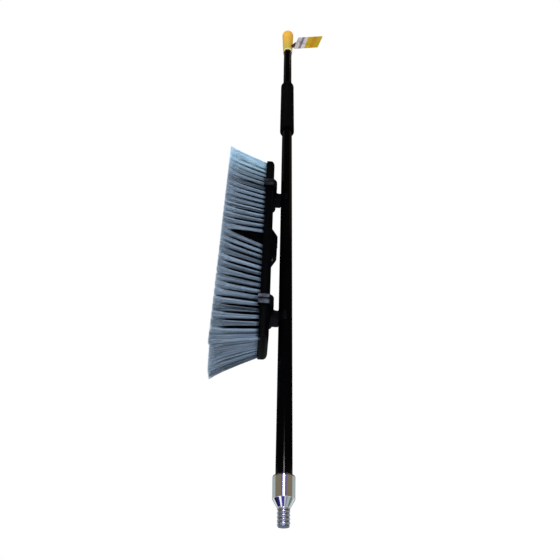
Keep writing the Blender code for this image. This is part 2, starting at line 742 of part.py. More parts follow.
def saddle_outline(rib_share):
    """Section of a clip round the block, its outside raised by a share of its ribs."""
    low_x = BLOCK_FACE_X - CLEARANCE - CLIP_LIP_DEPTH
    lip_y = BLOCK_HALF - CLIP_LIP_HOLD
    inner_y = BLOCK_HALF + CLEARANCE
    outer_y = inner_y + CLIP_SIDE_WALL + rib_share * CLIP_SIDE_RIB
    outer_x = BLOCK_BACK_X + CLEARANCE + CLIP_BACK_WALL + rib_share * CLIP_BACK_RIB
    edge = (BLOCK_BACK_X - BLOCK_EDGE_RADIUS, BLOCK_HALF - BLOCK_EDGE_RADIUS)
    corner_radius = CLIP_CORNER_RADIUS + rib_share * CLIP_SIDE_RIB
    corner = (outer_x - corner_radius, outer_y - corner_radius)
    half = [(BLOCK_FACE_X - CLEARANCE, lip_y), (BLOCK_FACE_X - CLEARANCE, inner_y)]
    half += arc(edge, BLOCK_EDGE_RADIUS + CLEARANCE, 90, 0, ROUND_STEPS)
    other = arc(corner, corner_radius, 0, 90, ROUND_STEPS)
    other += [(low_x, outer_y), (low_x, lip_y)]
    mirrored = [(x, -y) for x, y in reversed(half)]
    mirrored_other = [(x, -y) for x, y in reversed(other)]
    return half + mirrored + mirrored_other + other


def make_clip(name, bottom, material, parent):
    """Clip: a ribbed saddle round the block, a web, and an open ring on the pole."""
    rings = []
    for height_share, rib_share in CLIP_RIB_SHARES:
        height = CLIP_SADDLE_RISE + height_share * CLIP_SADDLE_LENGTH
        rings.append([(x, y, height) for x, y in saddle_outline(rib_share)])
    bm = bmesh.new()
    add_loft(bm, rings)
    place = (0.0, 0.0, bottom)
    clip = make_object(name, bm, material, parent, place)

    back = BLOCK_BACK_X + CLEARANCE + CLIP_BACK_WALL
    near = BLOCK_BACK_X + 2 * CLEARANCE
    top = CLIP_WEB_HEIGHT + CLIP_WEB_FILLET
    outline = [(near, 0.0), (-OUTER_RADIUS, 0.0), (-OUTER_RADIUS, CLIP_WEB_HEIGHT)]
    outline += arc((back + CLIP_WEB_FILLET, top), CLIP_WEB_FILLET, 270, 180, ROUND_STEPS)
    outline += [(near, top)]
    bm = bmesh.new()
    add_prism(bm, outline, -CLIP_WEB_WIDTH / 2, CLIP_WEB_WIDTH / 2, 1)
    combine(clip, make_object(name + "_web", bm, material, parent, place), "UNION")

    ring_radius = TUBE_SEAT_RADIUS + CLIP_RING_WALL
    past = math.degrees(math.asin(CLIP_RING_ARM / ring_radius))
    outline = arc((0.0, 0.0), ring_radius, 90 - past, 270 + past, ROUND_SIDES // 2)
    bm = bmesh.new()
    add_prism(bm, outline, 0.0, CLIP_WEB_HEIGHT, 2)
    combine(clip, make_object(name + "_ring", bm, material, parent, place), "UNION")

    bm = bmesh.new()
    heights = (-CUT_OVERRUN, CLIP_WEB_HEIGHT + CUT_OVERRUN)
    add_loft(bm, [ring_points(TUBE_SEAT_RADIUS, z, ROUND_SIDES) for z in heights])
    combine(clip, make_object(name + "_bore", bm, material, parent, place), "DIFFERENCE")
    return clip


def make_pole(paint, chrome, metal, plastic, rubber, yellow, card, red):
    """The two tubes with the tip, the twist lock, the end cap and the tag."""
    make_tip(metal)
    make_ferrule(chrome)
    make_tube("outer_tube", OUTER_BORE, OUTER_RADIUS, TIP_SEAT + CLEARANCE, OUTER_TUBE_TOP, paint)
    make_collet(plastic)
    twist = make_empty("twist_axis", (0.0, 0.0, 0.0))
    make_nut(plastic, twist)
    make_grip(rubber, twist)
    slide = make_empty("telescope_axis", (0.0, 0.0, 0.0))
    make_bush(plastic, slide)
    make_tube("inner_tube", INNER_BORE, INNER_RADIUS, INNER_TUBE_BOTTOM, INNER_TUBE_TOP, paint, slide)
    make_cap(yellow, slide)
    make_tag(card, slide)
    make_tab(red, slide)


def make_head(plastic, navy, metal, pale, dark):
    """The broom head with its bristles and the two clips."""
    swivel = make_empty("head_axis", (0.0, 0.0, 0.0))
    make_block(plastic, swivel)
    make_socket(navy, swivel)
    make_screws(metal, swivel)
    for name, (columns, rows) in bristle_layouts().items():
        inner = name.startswith("inner")
        tip_of = inner_tip if inner else tuft_tip
        make_bristles(name, columns, rows, tip_of, dark if inner else pale, swivel)
    make_clip("lower_clip", LOWER_CLIP_BOTTOM, plastic, swivel)
    make_clip("upper_clip", UPPER_CLIP_BOTTOM, plastic, swivel)


def main():
    clear_scene()
    paint = make_material("black_gloss_paint", (0.006, 0.006, 0.007), 0.22)
    chrome = make_material("chrome", (0.80, 0.81, 0.83), 0.08, 1.0)
    cast = make_material("cast_zinc", (0.52, 0.54, 0.57), 0.35, 1.0)
    plastic = make_material("black_plastic", (0.010, 0.010, 0.011), 0.5)
    navy = make_material("dark_navy_plastic", (0.010, 0.012, 0.018), 0.45)
    rubber = make_material("black_grip_rubber", (0.008, 0.008, 0.009), 0.7)
    yellow = make_material("yellow_plastic", (0.80, 0.47, 0.06), 0.5)
    card = make_material("printed_card", (0.75, 0.55, 0.03), 0.6)
    red = make_material("dark_red_strap", (0.10, 0.02, 0.02), 0.6)
    pale = make_material("pale_blue_grey_fibre", (0.30, 0.40, 0.48), 0.6)
    dark = make_material("black_fibre", (0.010, 0.010, 0.012), 0.6)
    make_pole(paint, chrome, cast, plastic, rubber, yellow, card, red)
    make_head(plastic, navy, cast, pale, dark)


main()
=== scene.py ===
# %% [markdown]
# # A wide floor broom, dressed piece by piece
# The broom is a telescopic pole with a bristle head clipped along it. Its solids were made
# first, and they fix where everything is. This script loads them as a frame and builds finer
# pieces around them. Loading the solids, and not drawing the broom afresh, keeps every piece
# in the place where the moving parts expect it.

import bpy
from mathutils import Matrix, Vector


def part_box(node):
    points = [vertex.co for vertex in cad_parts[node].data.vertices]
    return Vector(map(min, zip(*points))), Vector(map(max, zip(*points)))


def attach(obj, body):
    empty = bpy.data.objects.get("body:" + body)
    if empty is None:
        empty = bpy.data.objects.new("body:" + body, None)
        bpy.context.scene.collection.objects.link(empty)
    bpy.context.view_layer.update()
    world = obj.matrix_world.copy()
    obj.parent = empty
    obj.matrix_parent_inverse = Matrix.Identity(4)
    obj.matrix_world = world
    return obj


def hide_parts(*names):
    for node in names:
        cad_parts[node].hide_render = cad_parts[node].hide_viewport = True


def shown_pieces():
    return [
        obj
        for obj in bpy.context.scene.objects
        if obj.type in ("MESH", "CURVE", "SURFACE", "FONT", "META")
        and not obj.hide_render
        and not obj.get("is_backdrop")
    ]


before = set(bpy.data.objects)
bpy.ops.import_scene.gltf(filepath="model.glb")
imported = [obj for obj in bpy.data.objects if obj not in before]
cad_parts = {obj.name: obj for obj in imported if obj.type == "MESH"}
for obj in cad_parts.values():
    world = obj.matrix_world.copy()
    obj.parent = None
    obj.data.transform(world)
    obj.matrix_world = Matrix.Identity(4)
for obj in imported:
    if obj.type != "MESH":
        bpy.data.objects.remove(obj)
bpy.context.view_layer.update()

# %% [markdown]
# The other tools come next: bmesh builds the meshes, numpy places thousands of fibres at
# once, and mathutils turns and measures. The fixed numbers of the broom are kept in metres,
# with +Z along the pole and the head on the -X side.

# %% Tools and the broom's main measures
import math

import bmesh
import bpy
import numpy as np
from mathutils import Matrix, Vector

MM = 0.001
HEAD_CENTRE = 526.5 * MM


def in_mm(rows):
    """Rows of numbers given in millimetres, as metres."""
    return [tuple(value * MM for value in row) for row in rows]


# %% [markdown]
# ## Helpers for node trees
# The world, the cards and the finishes are node trees: patterns go through groups into one
# shader. The helpers below place a node with its values, open and close a group with named
# sockets, place a group in a material, and start a material with its plain numbers typed on
# the shader. Writing each link by hand would take five lines where one says the same.

# %% Node helpers
SOCKET_KINDS = {"VALUE": "NodeSocketFloat", "VECTOR": "NodeSocketVector", "RGBA": "NodeSocketColor"}


def rgb(red, green, blue):
    return (red, green, blue, 1.0)


def set_socket(tree, socket, value):
    """Joins a socket to another one, or types a value in."""
    if isinstance(value, bpy.types.NodeSocket):
        tree.links.new(value, socket)
    else:
        socket.default_value = value


def fill(tree, made, **sockets):
    """Sets sockets of a node by name, with _ for a space."""
    for label, value in sockets.items():
        set_socket(tree, made.inputs[label.replace("_", " ")], value)


def node(tree, kind, settings=None, *values, **sockets):
    """A node with its settings, and its sockets set in their order or by name."""
    made = tree.nodes.new(kind)
    for key, value in (settings or {}).items():
        setattr(made, key, value)
    for socket, value in zip(made.inputs, values):
        set_socket(tree, socket, value)
    fill(tree, made, **sockets)
    return made


def maths(tree, operation, *values):
    return node(tree, "ShaderNodeMath", {"operation": operation}, *values).outputs[0]


def stretched(tree, place, factors):
    """A place with its three coordinates multiplied."""
    return node(tree, "ShaderNodeVectorMath", {"operation": "MULTIPLY"}, place, factors).outputs[0]


def split(tree, vector):
    """The X, Y and Z of a vector, by name."""
    return node(tree, "ShaderNodeSeparateXYZ", None, vector).outputs


def noise(tree, place, scale, detail, roughness=0.5):
    return node(tree, "ShaderNodeTexNoise", Vector=place, Scale=scale, Detail=detail,
                Roughness=roughness).outputs["Fac"]


def mapped(tree, value, low, high, to_low, to_high):
    """A value moved from one range to another."""
    numbers = (value, low, high, to_low, to_high)
    return node(tree, "ShaderNodeMapRange", None, *numbers).outputs["Result"]


def mixed(tree, amount, first, second, blend="MIX"):
    """Two colours mixed by an amount."""
    made = node(tree, "ShaderNodeMix", {"data_type": "RGBA", "blend_type": blend}, Factor=amount)
    set_socket(tree, made.inputs[6], first)
    set_socket(tree, made.inputs[7], second)
    return made.outputs[2]


def bumped(tree, shader, height, strength, distance):
    """Puts a bump of this height in the shader's normal."""
    bump = node(tree, "ShaderNodeBump", Strength=strength, Distance=distance, Height=height)
    fill(tree, shader, Normal=bump.outputs["Normal"])


def new_group(name, **inputs):
    """A node group that takes a place and these inputs, and what it is given, by name."""
    group = bpy.data.node_groups.new(name, "ShaderNodeTree")
    for label, value in {"Place": (0.0, 0.0, 0.0), **inputs}.items():
        kind = "VALUE" if isinstance(value, float) else {3: "VECTOR", 4: "RGBA"}[len(value)]
        socket = group.interface.new_socket(label, in_out="INPUT", socket_type=SOCKET_KINDS[kind])
        socket.default_value = value
    return group, group.nodes.new("NodeGroupInput").outputs


def close_group(group, **results):
    """Gives the group its outputs."""
    for label, value in results.items():
        group.interface.new_socket(label, in_out="OUTPUT", socket_type=SOCKET_KINDS[value.type])
    node(group, "NodeGroupOutput", **results)
    print("group:", group.name)


def place_group(tree, group, **sockets):
    """The outputs of this group, placed in a material with its values."""
    return node(tree, "ShaderNodeGroup", {"node_tree": group}, **sockets).outputs


def new_finish(name, **numbers):
    """A material, its tree, its shader with these plain numbers, and the place on the piece."""
    made = bpy.data.materials.new(name)
    made.use_nodes = True
    tree = made.node_tree
    shader = tree.nodes["Principled BSDF"]
    fill(tree, shader, **numbers)
    return made, tree, shader, node(tree, "ShaderNodeTexCoord").outputs["Object"]


print("node helpers ready")

# %% [markdown]
# ## Camera
# The picture was taken from close to the threaded tip, looking up along the pole. The tube
# gets evenly thinner up the picture, and that gives the point where its line would vanish.
# From that point and the tip's place, the camera follows: the pole's direction and the
# direction to the tip are written in the camera's own axes (right, down, forward), and the
# cross product of the two gives the turn. Guessing the turn by hand would take many tries.
# The head hangs a few degrees askew on the pole in the picture, and the pole is round, so
# the camera is carried round the pole by that much and the broom stays straight.

# %% Camera from the pole's vanishing point
PICTURE_SIDE = 560
FOCAL_PIXELS = 500.0
SENSOR_MM = 36.0
CAMERA_PLACE = (0.0, -740.4 * MM, -185.0 * MM)
HEAD_ASKEW = math.radians(4.0)
# pixels right of and below the middle of the picture
POLE_VANISHES, TIP_SEEN = (10.9, -589.0), (3.5, 247.0)

pole_line = Vector((*POLE_VANISHES, FOCAL_PIXELS)).normalized()
tip_line = Vector((*TIP_SEEN, FOCAL_PIXELS)).normalized()
to_pole = (tip_line - tip_line.dot(pole_line) * pole_line).normalized()
across = to_pole.cross(pole_line)

right, down, ahead = (Vector((across[i], to_pole[i], pole_line[i])) for i in range(3))
turn = Matrix((right, -down, -ahead)).transposed().to_4x4()
camera = bpy.data.objects.new("photo_camera", bpy.data.cameras.new("photo_camera"))
camera.data.sensor_width = SENSOR_MM
camera.data.lens = SENSOR_MM * FOCAL_PIXELS / PICTURE_SIDE
camera.data.clip_start = 0.01
carried = Matrix.Rotation(-HEAD_ASKEW, 4, "Z")
camera.matrix_world = carried @ Matrix.Translation(CAMERA_PLACE) @ turn
bpy.context.scene.collection.objects.link(camera)
bpy.context.scene.camera = camera
print("camera looks up at", round(math.degrees(math.asin(ahead.z)), 1), "degrees")

# %% [markdown]
# ## Floor and background
# The broom is shown on plain white. The world is white where the camera, a reflection or a
# clear material sees it, and dimmer where it lights the broom, so that white does not wash
# out the dark plastic. A pale floor lies below the camera and takes the shadow.

# %% World and floor
SKY_LEVEL = 0.62
FLOOR_DROP = 0.32
FLOOR_SIDE = 14.0
WHITE = rgb(1.0, 1.0, 1.0)

bpy.context.scene.view_settings.view_transform = "Standard"
world = bpy.data.worlds.new("white_studio")
bpy.context.scene.world = world
world.use_nodes = True
sky = world.node_tree
sky.nodes.clear()
rays = node(sky, "ShaderNodeLightPath").outputs
seen = rays["Is Camera Ray"]
for label in ("Is Glossy Ray", "Is Transmission Ray"):
    seen = maths(sky, "MAXIMUM", seen, rays[label])
dim, white = (node(sky, "ShaderNodeBackground", Color=WHITE, Strength=level).outputs[0]
              for level in (SKY_LEVEL, 1.0))
choose = node(sky, "ShaderNodeMixShader", None, seen, dim, white)
node(sky, "ShaderNodeOutputWorld", Surface=choose.outputs[0])


def link_new(name, mesh):
    """A new object that holds this mesh, in the scene."""
    obj = bpy.data.objects.new(name, mesh)
    bpy.context.scene.collection.objects.link(obj)
    return obj


floor_mesh = bpy.data.meshes.new("floor")
half = FLOOR_SIDE / 2
corners = [(-half, -half), (half, -half), (half, half), (-half, half)]
floor_mesh.from_pydata([(x, y, -FLOOR_DROP) for x, y in corners], [], [(0, 1, 2, 3)])
floor = link_new("floor", floor_mesh)
floor_mesh.materials.append(new_finish("white_floor", Base_Color=rgb(0.93, 0.93, 0.93),
                                       Roughness=0.9, Specular_IOR_Level=0.1)[0])
floor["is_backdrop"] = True
print("floor lies", FLOOR_DROP, "m below the tip")

# %% [markdown]
# ## Lamps
# Large soft lamps stand in front on both sides and one hangs over the cap. Together with the
# dim sky they light a surface so that a colour shows about as it is written. Area lamps are
# used because the photograph has no hard shadow.

# %% Soft lamps
def add_lamp(name, place, aim, size, power):
    """A square area lamp that faces its aim."""
    data = bpy.data.lights.new(name, "AREA")
    data.size = size
    data.energy = power
    lamp = bpy.data.objects.new(name, data)
    lamp.location = place
    lamp.rotation_euler = (Vector(aim) - Vector(place)).to_track_quat("-Z", "Y").to_euler()
    lamp.visible_glossy = False
    bpy.context.scene.collection.objects.link(lamp)


add_lamp("front_left_lamp", (-2.4, -2.6, 1.9), (0.0, 0.0, 0.6), 1.6, 62.0)
add_lamp("front_right_lamp", (2.3, -2.6, 1.2), (0.0, 0.0, 0.6), 1.6, 40.0)
add_lamp("top_lamp", (-0.6, -0.3, 3.6), (0.0, 0.0, 0.9), 1.4, 34.0)

# %% [markdown]
# ## What the chrome reflects
# Chrome has no colour of its own: its look is the room. In the photograph the ferrule
# mirrors a narrow window light behind the camera, brown walls on both sides of it, and a pale
# backdrop at its edges, and its cone mirrors blue and pale things on the floor. Cards stand,
# lie and hang there, and only reflections see them, so they change no shading. This is what
# a photographer's cards do. Their places and tones were fitted to the photograph.

# %% Cards for reflections
CARD_DISTANCE, CARD_STEP = 2.5, 0.01
CARDS = (
    # name, side angles from the camera's side in degrees, low and high edge, radiance
    ("window_light", (-8.0, 8.0), (0.30, 0.93), (3.4, 3.4, 3.5)),
    ("window_top", (-8.0, 8.0), (0.93, 0.99), (60.0, 61.0, 63.0)),
    ("window_fade", (-7.0, 7.0), (0.99, 1.035), (34.0, 34.5, 35.0)),
    ("window_glow", (-6.0, 6.0), (1.035, 1.10), (8.0, 8.0, 8.3)),
    ("window_end", (-5.0, 5.0), (1.10, 1.25), (2.5, 2.5, 2.6)),
    ("blue_edge_left", (-25.0, -9.0), (-0.3, 1.02), (0.11, 0.09, 0.42)),
    ("blue_edge_right", (9.0, 25.0), (-0.3, 1.02), (0.11, 0.09, 0.42)),
    ("wall_left", (-92.0, -25.0), (-0.3, 1.02), (0.21, 0.175, 0.122)),
    ("wall_right", (25.0, 92.0), (-0.3, 1.02), (0.225, 0.172, 0.115)),
    ("dark_front", (-60.0, 60.0), (1.02, 9.6), (0.008, 0.008, 0.010)),
    ("dark_left", (-92.0, -60.0), (1.02, 3.2), (0.012, 0.012, 0.014)),
    ("dark_right", (60.0, 92.0), (1.02, 3.2), (0.012, 0.012, 0.014)),
    ("brown_high_left", (-106.0, -60.0), (3.2, 9.6), (0.20, 0.165, 0.115)),
    ("brown_high_right", (60.0, 106.0), (3.2, 9.6), (0.215, 0.165, 0.11)),
    ("grey_side", (92.0, 268.0), (-0.3, 1.02), (0.41, 0.46, 0.46)),
    ("grey_high_side", (92.0, 268.0), (1.02, 9.6), (0.03, 0.035, 0.035)),
)

FLOOR_FANS = (
    # name, side angles in degrees, radiance
    ("pale_fan_left", (-165.0, -116.0), (0.50, 0.54, 0.54)),
    ("black_fan", (-116.0, -92.0), (0.010, 0.012, 0.03)),
    ("navy_fan", (-92.0, -56.0), (0.022, 0.022, 0.17)),
    ("violet_fan", (-30.0, 8.0), (0.06, 0.05, 0.30)),
    ("silver_fan", (8.0, 26.0), (0.62, 0.64, 0.70)),
    ("slate_fan", (26.0, 44.0), (0.24, 0.25, 0.32)),
    ("grey_fan", (44.0, 76.0), (0.42, 0.46, 0.47)),
    ("teal_fan", (76.0, 104.0), (0.14, 0.21, 0.20)),
    ("pale_fan_right", (104.0, 165.0), (0.46, 0.50, 0.49)),
    ("navy_fan_behind", (165.0, 195.0), (0.06, 0.12, 0.32)),
)
FAN_NEAR_EDGE, FAN_FAR_EDGE, FAN_DROP = 0.05, 1.2, 0.30
CEILING_NEAR_EDGE, CEILING_HEIGHT = 0.02, 9.6
CEILING = (
    ("ceiling_window", (-9.0, 9.0), (4.0, 4.0, 4.1)),
    ("brown_ceiling", (9.0, 351.0), (0.22, 0.18, 0.12)),
)
CARD_TURN = 6


def glowing_card(name, points, faces, radiance):
    """A card that only reflections see."""
    mesh = bpy.data.meshes.new(name)
    mesh.from_pydata(points, [], faces)
    paint = bpy.data.materials.new(name)
    paint.use_nodes = True
    paint.node_tree.nodes.clear()
    colour = rgb(*(c / max(radiance) for c in radiance))
    glow = node(paint.node_tree, "ShaderNodeEmission", Color=colour, Strength=max(radiance))
    node(paint.node_tree, "ShaderNodeOutputMaterial", Surface=glow.outputs[0])
    mesh.materials.append(paint)
    card = link_new(name, mesh)
    card.visible_camera = card.visible_diffuse = card.visible_shadow = False
    card.visible_transmission = False
    card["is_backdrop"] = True


def round_points(angles, ends):
    """Pairs of points round the pole, each pair given by two (radius, height) ends."""
    steps = max(2, int(abs(angles[1] - angles[0]) / CARD_TURN))
    points = []
    for i in range(steps + 1):
        side_angle = math.radians(angles[0] + (angles[1] - angles[0]) * i / steps) - HEAD_ASKEW
        for radius, height in ends:
            points.append((radius * math.sin(side_angle), -radius * math.cos(side_angle), height))
    return points, [(2 * i, 2 * i + 2, 2 * i + 3, 2 * i + 1) for i in range(steps)]


for index, (card_name, angles, heights, radiance) in enumerate(CARDS):
    ends = [(CARD_DISTANCE + CARD_STEP * index, height) for height in heights]
    glowing_card(card_name, *round_points(angles, ends), radiance)
FAN_ENDS = [(FAN_NEAR_EDGE, -FAN_DROP), (FAN_FAR_EDGE, -FAN_DROP)]
CEILING_ENDS = [(CEILING_NEAR_EDGE, CEILING_HEIGHT), (CARD_DISTANCE, CEILING_HEIGHT)]
for flat_cards, ends in ((FLOOR_FANS, FAN_ENDS), (CEILING, CEILING_ENDS)):
    for card_name, angles, radiance in flat_cards:
        glowing_card(card_name, *round_points(angles, ends), radiance)
print("cards:", len(CARDS) + len(FLOOR_FANS) + len(CEILING))

# %% [markdown]
# ## Surface effects shared by the finishes
# Real plastic and paint are never one flat tone. Five groups give what the pieces show: a
# slow drift between two tones, the fine grain of a mould, rub marks from hands and storage,
# dust on the faces that look up, and the long lines that drawing leaves on metal.
# Each is built once and placed with its own values.

# %% Tone drift
tone_drift, given = new_group("Tone drift", First=rgb(0.5, 0.5, 0.5),
                              Second=rgb(0.4, 0.4, 0.4), Scale=20.0)
cloud = noise(tone_drift, given["Place"], given["Scale"], 4.0, 0.6)
spread = mapped(tone_drift, cloud, 0.32, 0.68, 0.0, 1.0)
close_group(tone_drift, Colour=mixed(tone_drift, spread, given["First"], given["Second"]))

# %% Mould grain
mould_grain, given = new_group("Mould grain", Scale=900.0)
fine = noise(mould_grain, given["Place"], given["Scale"], 3.0)
pits = node(mould_grain, "ShaderNodeTexVoronoi", Vector=given["Place"], Scale=given["Scale"])
pit_depth = mapped(mould_grain, pits.outputs["Distance"], 0.0, 0.6, 0.0, 0.5)
close_group(mould_grain, Height=maths(mould_grain, "ADD", fine, pit_depth))

# %% Rub marks
rub_marks, given = new_group("Rub marks", Scale=60.0, Amount=0.3, Stretch=(1.0, 1.0, 0.15))
drawn = stretched(rub_marks, given["Place"], given["Stretch"])
scratches = noise(rub_marks, drawn, given["Scale"], 8.0, 0.72)
sharp = mapped(rub_marks, scratches, 0.56, 0.74, 0.0, 1.0)
close_group(rub_marks, Mask=maths(rub_marks, "MULTIPLY", sharp, given["Amount"]))

# %% Settled dust
settled_dust, given = new_group("Settled dust", Amount=0.1, Scale=300.0)
normal = node(settled_dust, "ShaderNodeNewGeometry").outputs["Normal"]
upward = mapped(settled_dust, split(settled_dust, normal)["Z"], -0.3, 0.9, 0.25, 1.0)
specks = noise(settled_dust, given["Place"], given["Scale"], 5.0, 0.7)
speck_mask = mapped(settled_dust, specks, 0.45, 0.75, 0.0, 1.0)
dusty = maths(settled_dust, "MULTIPLY", upward, speck_mask)
close_group(settled_dust, Mask=maths(settled_dust, "MULTIPLY", dusty, given["Amount"]))

# %% Drawn lines
drawn_lines, given = new_group("Drawn lines", Stretch=(900.0, 900.0, 12.0))
pulled = stretched(drawn_lines, given["Place"], given["Stretch"])
close_group(drawn_lines, Height=noise(drawn_lines, pulled, 1.0, 4.0, 0.6))

# %% [markdown]
# ## Moulded and painted finishes
# Most dark pieces are black plastic, rubber or paint, and they differ in gloss, grain and
# wear. One maker puts the groups together in the same order each time: tone, then rubbing,
# then dust in the colour, rubbing in the roughness, and grain in a bump. The blacks are far
# darker than real plastic, because the photograph's blacks are nearly clipped.

# %% A maker of moulded finishes
DUST = rgb(0.20, 0.19, 0.18)
PLASTIC_GRAIN = (1500.0, 0.00008, 0.30)


def moulded(name, first, second, rubbed, gloss, grain, marks=0.3, dust=0.08, **numbers):
    """A dark or coloured moulded surface. gloss is (polished, rubbed) roughness, and grain is
    (scale, depth in metres, strength)."""
    made, tree, shader, place = new_finish(name, **numbers)
    colour = place_group(tree, tone_drift, Place=place, First=first, Second=second, Scale=14.0)
    worn = place_group(tree, rub_marks, Place=place, Scale=70.0, Amount=marks)["Mask"]
    grey = place_group(tree, settled_dust, Place=place, Amount=dust)["Mask"]
    body = mixed(tree, grey, mixed(tree, worn, colour["Colour"], rubbed), DUST)
    fill(tree, shader, Base_Color=body, Roughness=mapped(tree, worn, 0.0, 1.0, *gloss))
    scale, depth, strength = grain
    surface = place_group(tree, mould_grain, Place=place, Scale=scale)
    bumped(tree, shader, surface["Height"], strength, depth)
    return made


black_paint = moulded(
    "black_gloss_paint", rgb(0.0007, 0.0007, 0.0009), rgb(0.0011, 0.0011, 0.0014),
    rgb(0.002, 0.002, 0.0024), (0.10, 0.16), (260.0, 0.00002, 0.10), 0.22, 0.002,
    Specular_IOR_Level=0.06)
black_plastic = moulded(
    "black_moulded_plastic", rgb(0.0006, 0.0007, 0.0012), rgb(0.0011, 0.0012, 0.0019),
    rgb(0.004, 0.0045, 0.006), (0.36, 0.50), PLASTIC_GRAIN, 0.30, 0.002,
    Specular_IOR_Level=0.04)
navy_plastic = moulded(
    "dark_navy_plastic", rgb(0.0009, 0.0011, 0.0020), rgb(0.0015, 0.0017, 0.0030),
    rgb(0.004, 0.0045, 0.007), (0.32, 0.48), PLASTIC_GRAIN, 0.30, 0.003,
    Specular_IOR_Level=0.04)
grip_rubber = moulded(
    "black_grip_rubber", rgb(0.0009, 0.0009, 0.0011), rgb(0.0014, 0.0014, 0.0017),
    rgb(0.004, 0.004, 0.0045), (0.50, 0.70), (2200.0, 0.00012, 0.45), 0.35, 0.002,
    Specular_IOR_Level=0.02)
red_strap = moulded(
    "dark_red_strap", rgb(0.060, 0.010, 0.010), rgb(0.085, 0.014, 0.013),
    rgb(0.16, 0.05, 0.045), (0.5, 0.7), (1800.0, 0.00006, 0.3), 0.3, 0.03,
    Specular_IOR_Level=0.3)
print("moulded finishes: paint, black, navy, rubber, red")

# %% [markdown]
# The clips' ribs stand out past the plain side. There the black is painted pale grey as a
# highlight, most on the lower clip. The mask is the distance from the middle, broken up by a
# noise, so the painted highlight stays on the ribs.

# %% Clips with a painted highlight on their ribs
PLAIN_SIDE, RIB_SIDE = 41.3 * MM, 42.4 * MM
PAINTED_RIB_HIGHLIGHT = rgb(0.19, 0.22, 0.29)


def clip_with_painted_rib_highlight(name, rib_highlight_strength):
    """Black plastic with a painted pale highlight on its ribs. The second argument is how strongly
    it shows.
    """
    made = moulded(name, rgb(0.0008, 0.0009, 0.0014), rgb(0.0014, 0.0015, 0.0022),
                   rgb(0.005, 0.0055, 0.007), (0.40, 0.58), (1500.0, 0.00008, 0.35), 0.30, 0.003,
                   Specular_IOR_Level=0.07)
    tree = made.node_tree
    base = tree.nodes["Principled BSDF"].inputs["Base Color"]
    place = tree.nodes["Texture Coordinate"].outputs["Object"]
    away = maths(tree, "ABSOLUTE", split(tree, place)["Y"])
    on_rib = mapped(tree, away, PLAIN_SIDE, RIB_SIDE, 0.0, rib_highlight_strength)
    patchy = mapped(tree, noise(tree, place, 130.0, 6.0), 0.40, 0.62, 0.25, 1.0)
    black = base.links[0].from_socket
    # the ribs get a painted highlight: pale grey mixed over the black
    set_socket(tree, base, mixed(tree, maths(tree, "MULTIPLY", on_rib, patchy), black, PAINTED_RIB_HIGHLIGHT))
    return made


clip_finishes = {"lower_clip": clip_with_painted_rib_highlight("lower_clip_painted_rib_highlight", 0.45),
                 "upper_clip": clip_with_painted_rib_highlight("upper_clip_painted_rib_highlight", 0.10)}
print("clip finishes:", len(clip_finishes))

# %% [markdown]
# ## Chrome and cast metal
# The ferrule is plated, so it mirrors the room, a little blurred by drawing lines and finger
# marks. The tip is cast, then its thread is rolled: it is greyer and rougher, and its roots
# are painted darker as painted shade. The root mask uses the distance from the pole's axis,
# which is where the thread is deep, so the painted shade stays in the grooves from every side.

# %% Chrome
chrome, tree, shader, place = new_finish("ferrule_chrome", Metallic=1.0)
lines = place_group(tree, drawn_lines, Place=place, Stretch=(500.0, 500.0, 6.0))
prints = place_group(tree, rub_marks, Place=place, Scale=120.0, Amount=0.5,
                     Stretch=(1.0, 1.0, 0.6))["Mask"]
plate = mixed(tree, prints, rgb(0.86, 0.87, 0.89), rgb(0.70, 0.71, 0.74))
fill(tree, shader, Base_Color=plate, Roughness=mapped(tree, prints, 0.0, 1.0, 0.07, 0.20))
bumped(tree, shader, lines["Height"], 0.10, 0.00003)
print("finish:", chrome.name)

# %% Cast metal with painted shade in the thread roots
THREAD_ROOT = 8.0 * MM
THREAD_CREST = 9.5 * MM
SHADED_ROOT_TONE = rgb(0.40, 0.42, 0.48)

cast_metal, tree, shader, place = new_finish("cast_zinc", Metallic=1.0)
parts = split(tree, place)
flat_place = node(tree, "ShaderNodeCombineXYZ", X=parts["X"], Y=parts["Y"]).outputs[0]
from_axis = node(tree, "ShaderNodeVectorMath", {"operation": "LENGTH"}, flat_place)
crest = mapped(tree, from_axis.outputs["Value"], THREAD_ROOT, THREAD_CREST, 0.0, 1.0)
cast_tone = place_group(tree, tone_drift, Place=place, First=rgb(0.80, 0.85, 0.95),
                        Second=rgb(0.60, 0.64, 0.74), Scale=420.0)
# the thread roots are painted darker: painted shade
fill(tree, shader, Base_Color=mixed(tree, crest, SHADED_ROOT_TONE, cast_tone["Colour"]),
     Roughness=mapped(tree, crest, 0.0, 1.0, 0.46, 0.24))
surface = place_group(tree, mould_grain, Place=place, Scale=1600.0)
bumped(tree, shader, surface["Height"], 0.4, 0.00008)

screw_steel, tree, shader, place = new_finish("screw_steel", Metallic=1.0)
steel_tone = place_group(tree, tone_drift, Place=place, First=rgb(0.58, 0.58, 0.60),
                         Second=rgb(0.44, 0.44, 0.47), Scale=400.0)
steel_marks = place_group(tree, rub_marks, Place=place, Scale=400.0, Amount=0.8)
fill(tree, shader, Base_Color=steel_tone["Colour"],
     Roughness=mapped(tree, steel_marks["Mask"], 0.0, 1.0, 0.22, 0.45))
print("finishes:", cast_metal.name, screw_steel.name)

# %% [markdown]
# ## Yellow cap
# The cap is soft yellow plastic. Its colour is painted lighter and more orange towards its
# domed top, as painted light from above, duller at its foot, as painted shade, and pale on
# the lip, as painted light from below. The height along the pole drives the change, so it
# stays with the cap.

# %% Yellow plastic
CAP_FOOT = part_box("end_cap")[0].z
CAP_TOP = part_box("end_cap")[1].z
SHADED_FOOT_TONE, LIT_TOP_TONE = rgb(0.43, 0.355, 0.045), rgb(0.76, 0.38, 0.035)
LIT_RIM_TONE, RUBBED_TONE = rgb(0.72, 0.66, 0.36), rgb(0.55, 0.36, 0.08)
RIM_FROM, RIM_TO = CAP_FOOT + 4.5 * MM, CAP_FOOT + 6.5 * MM

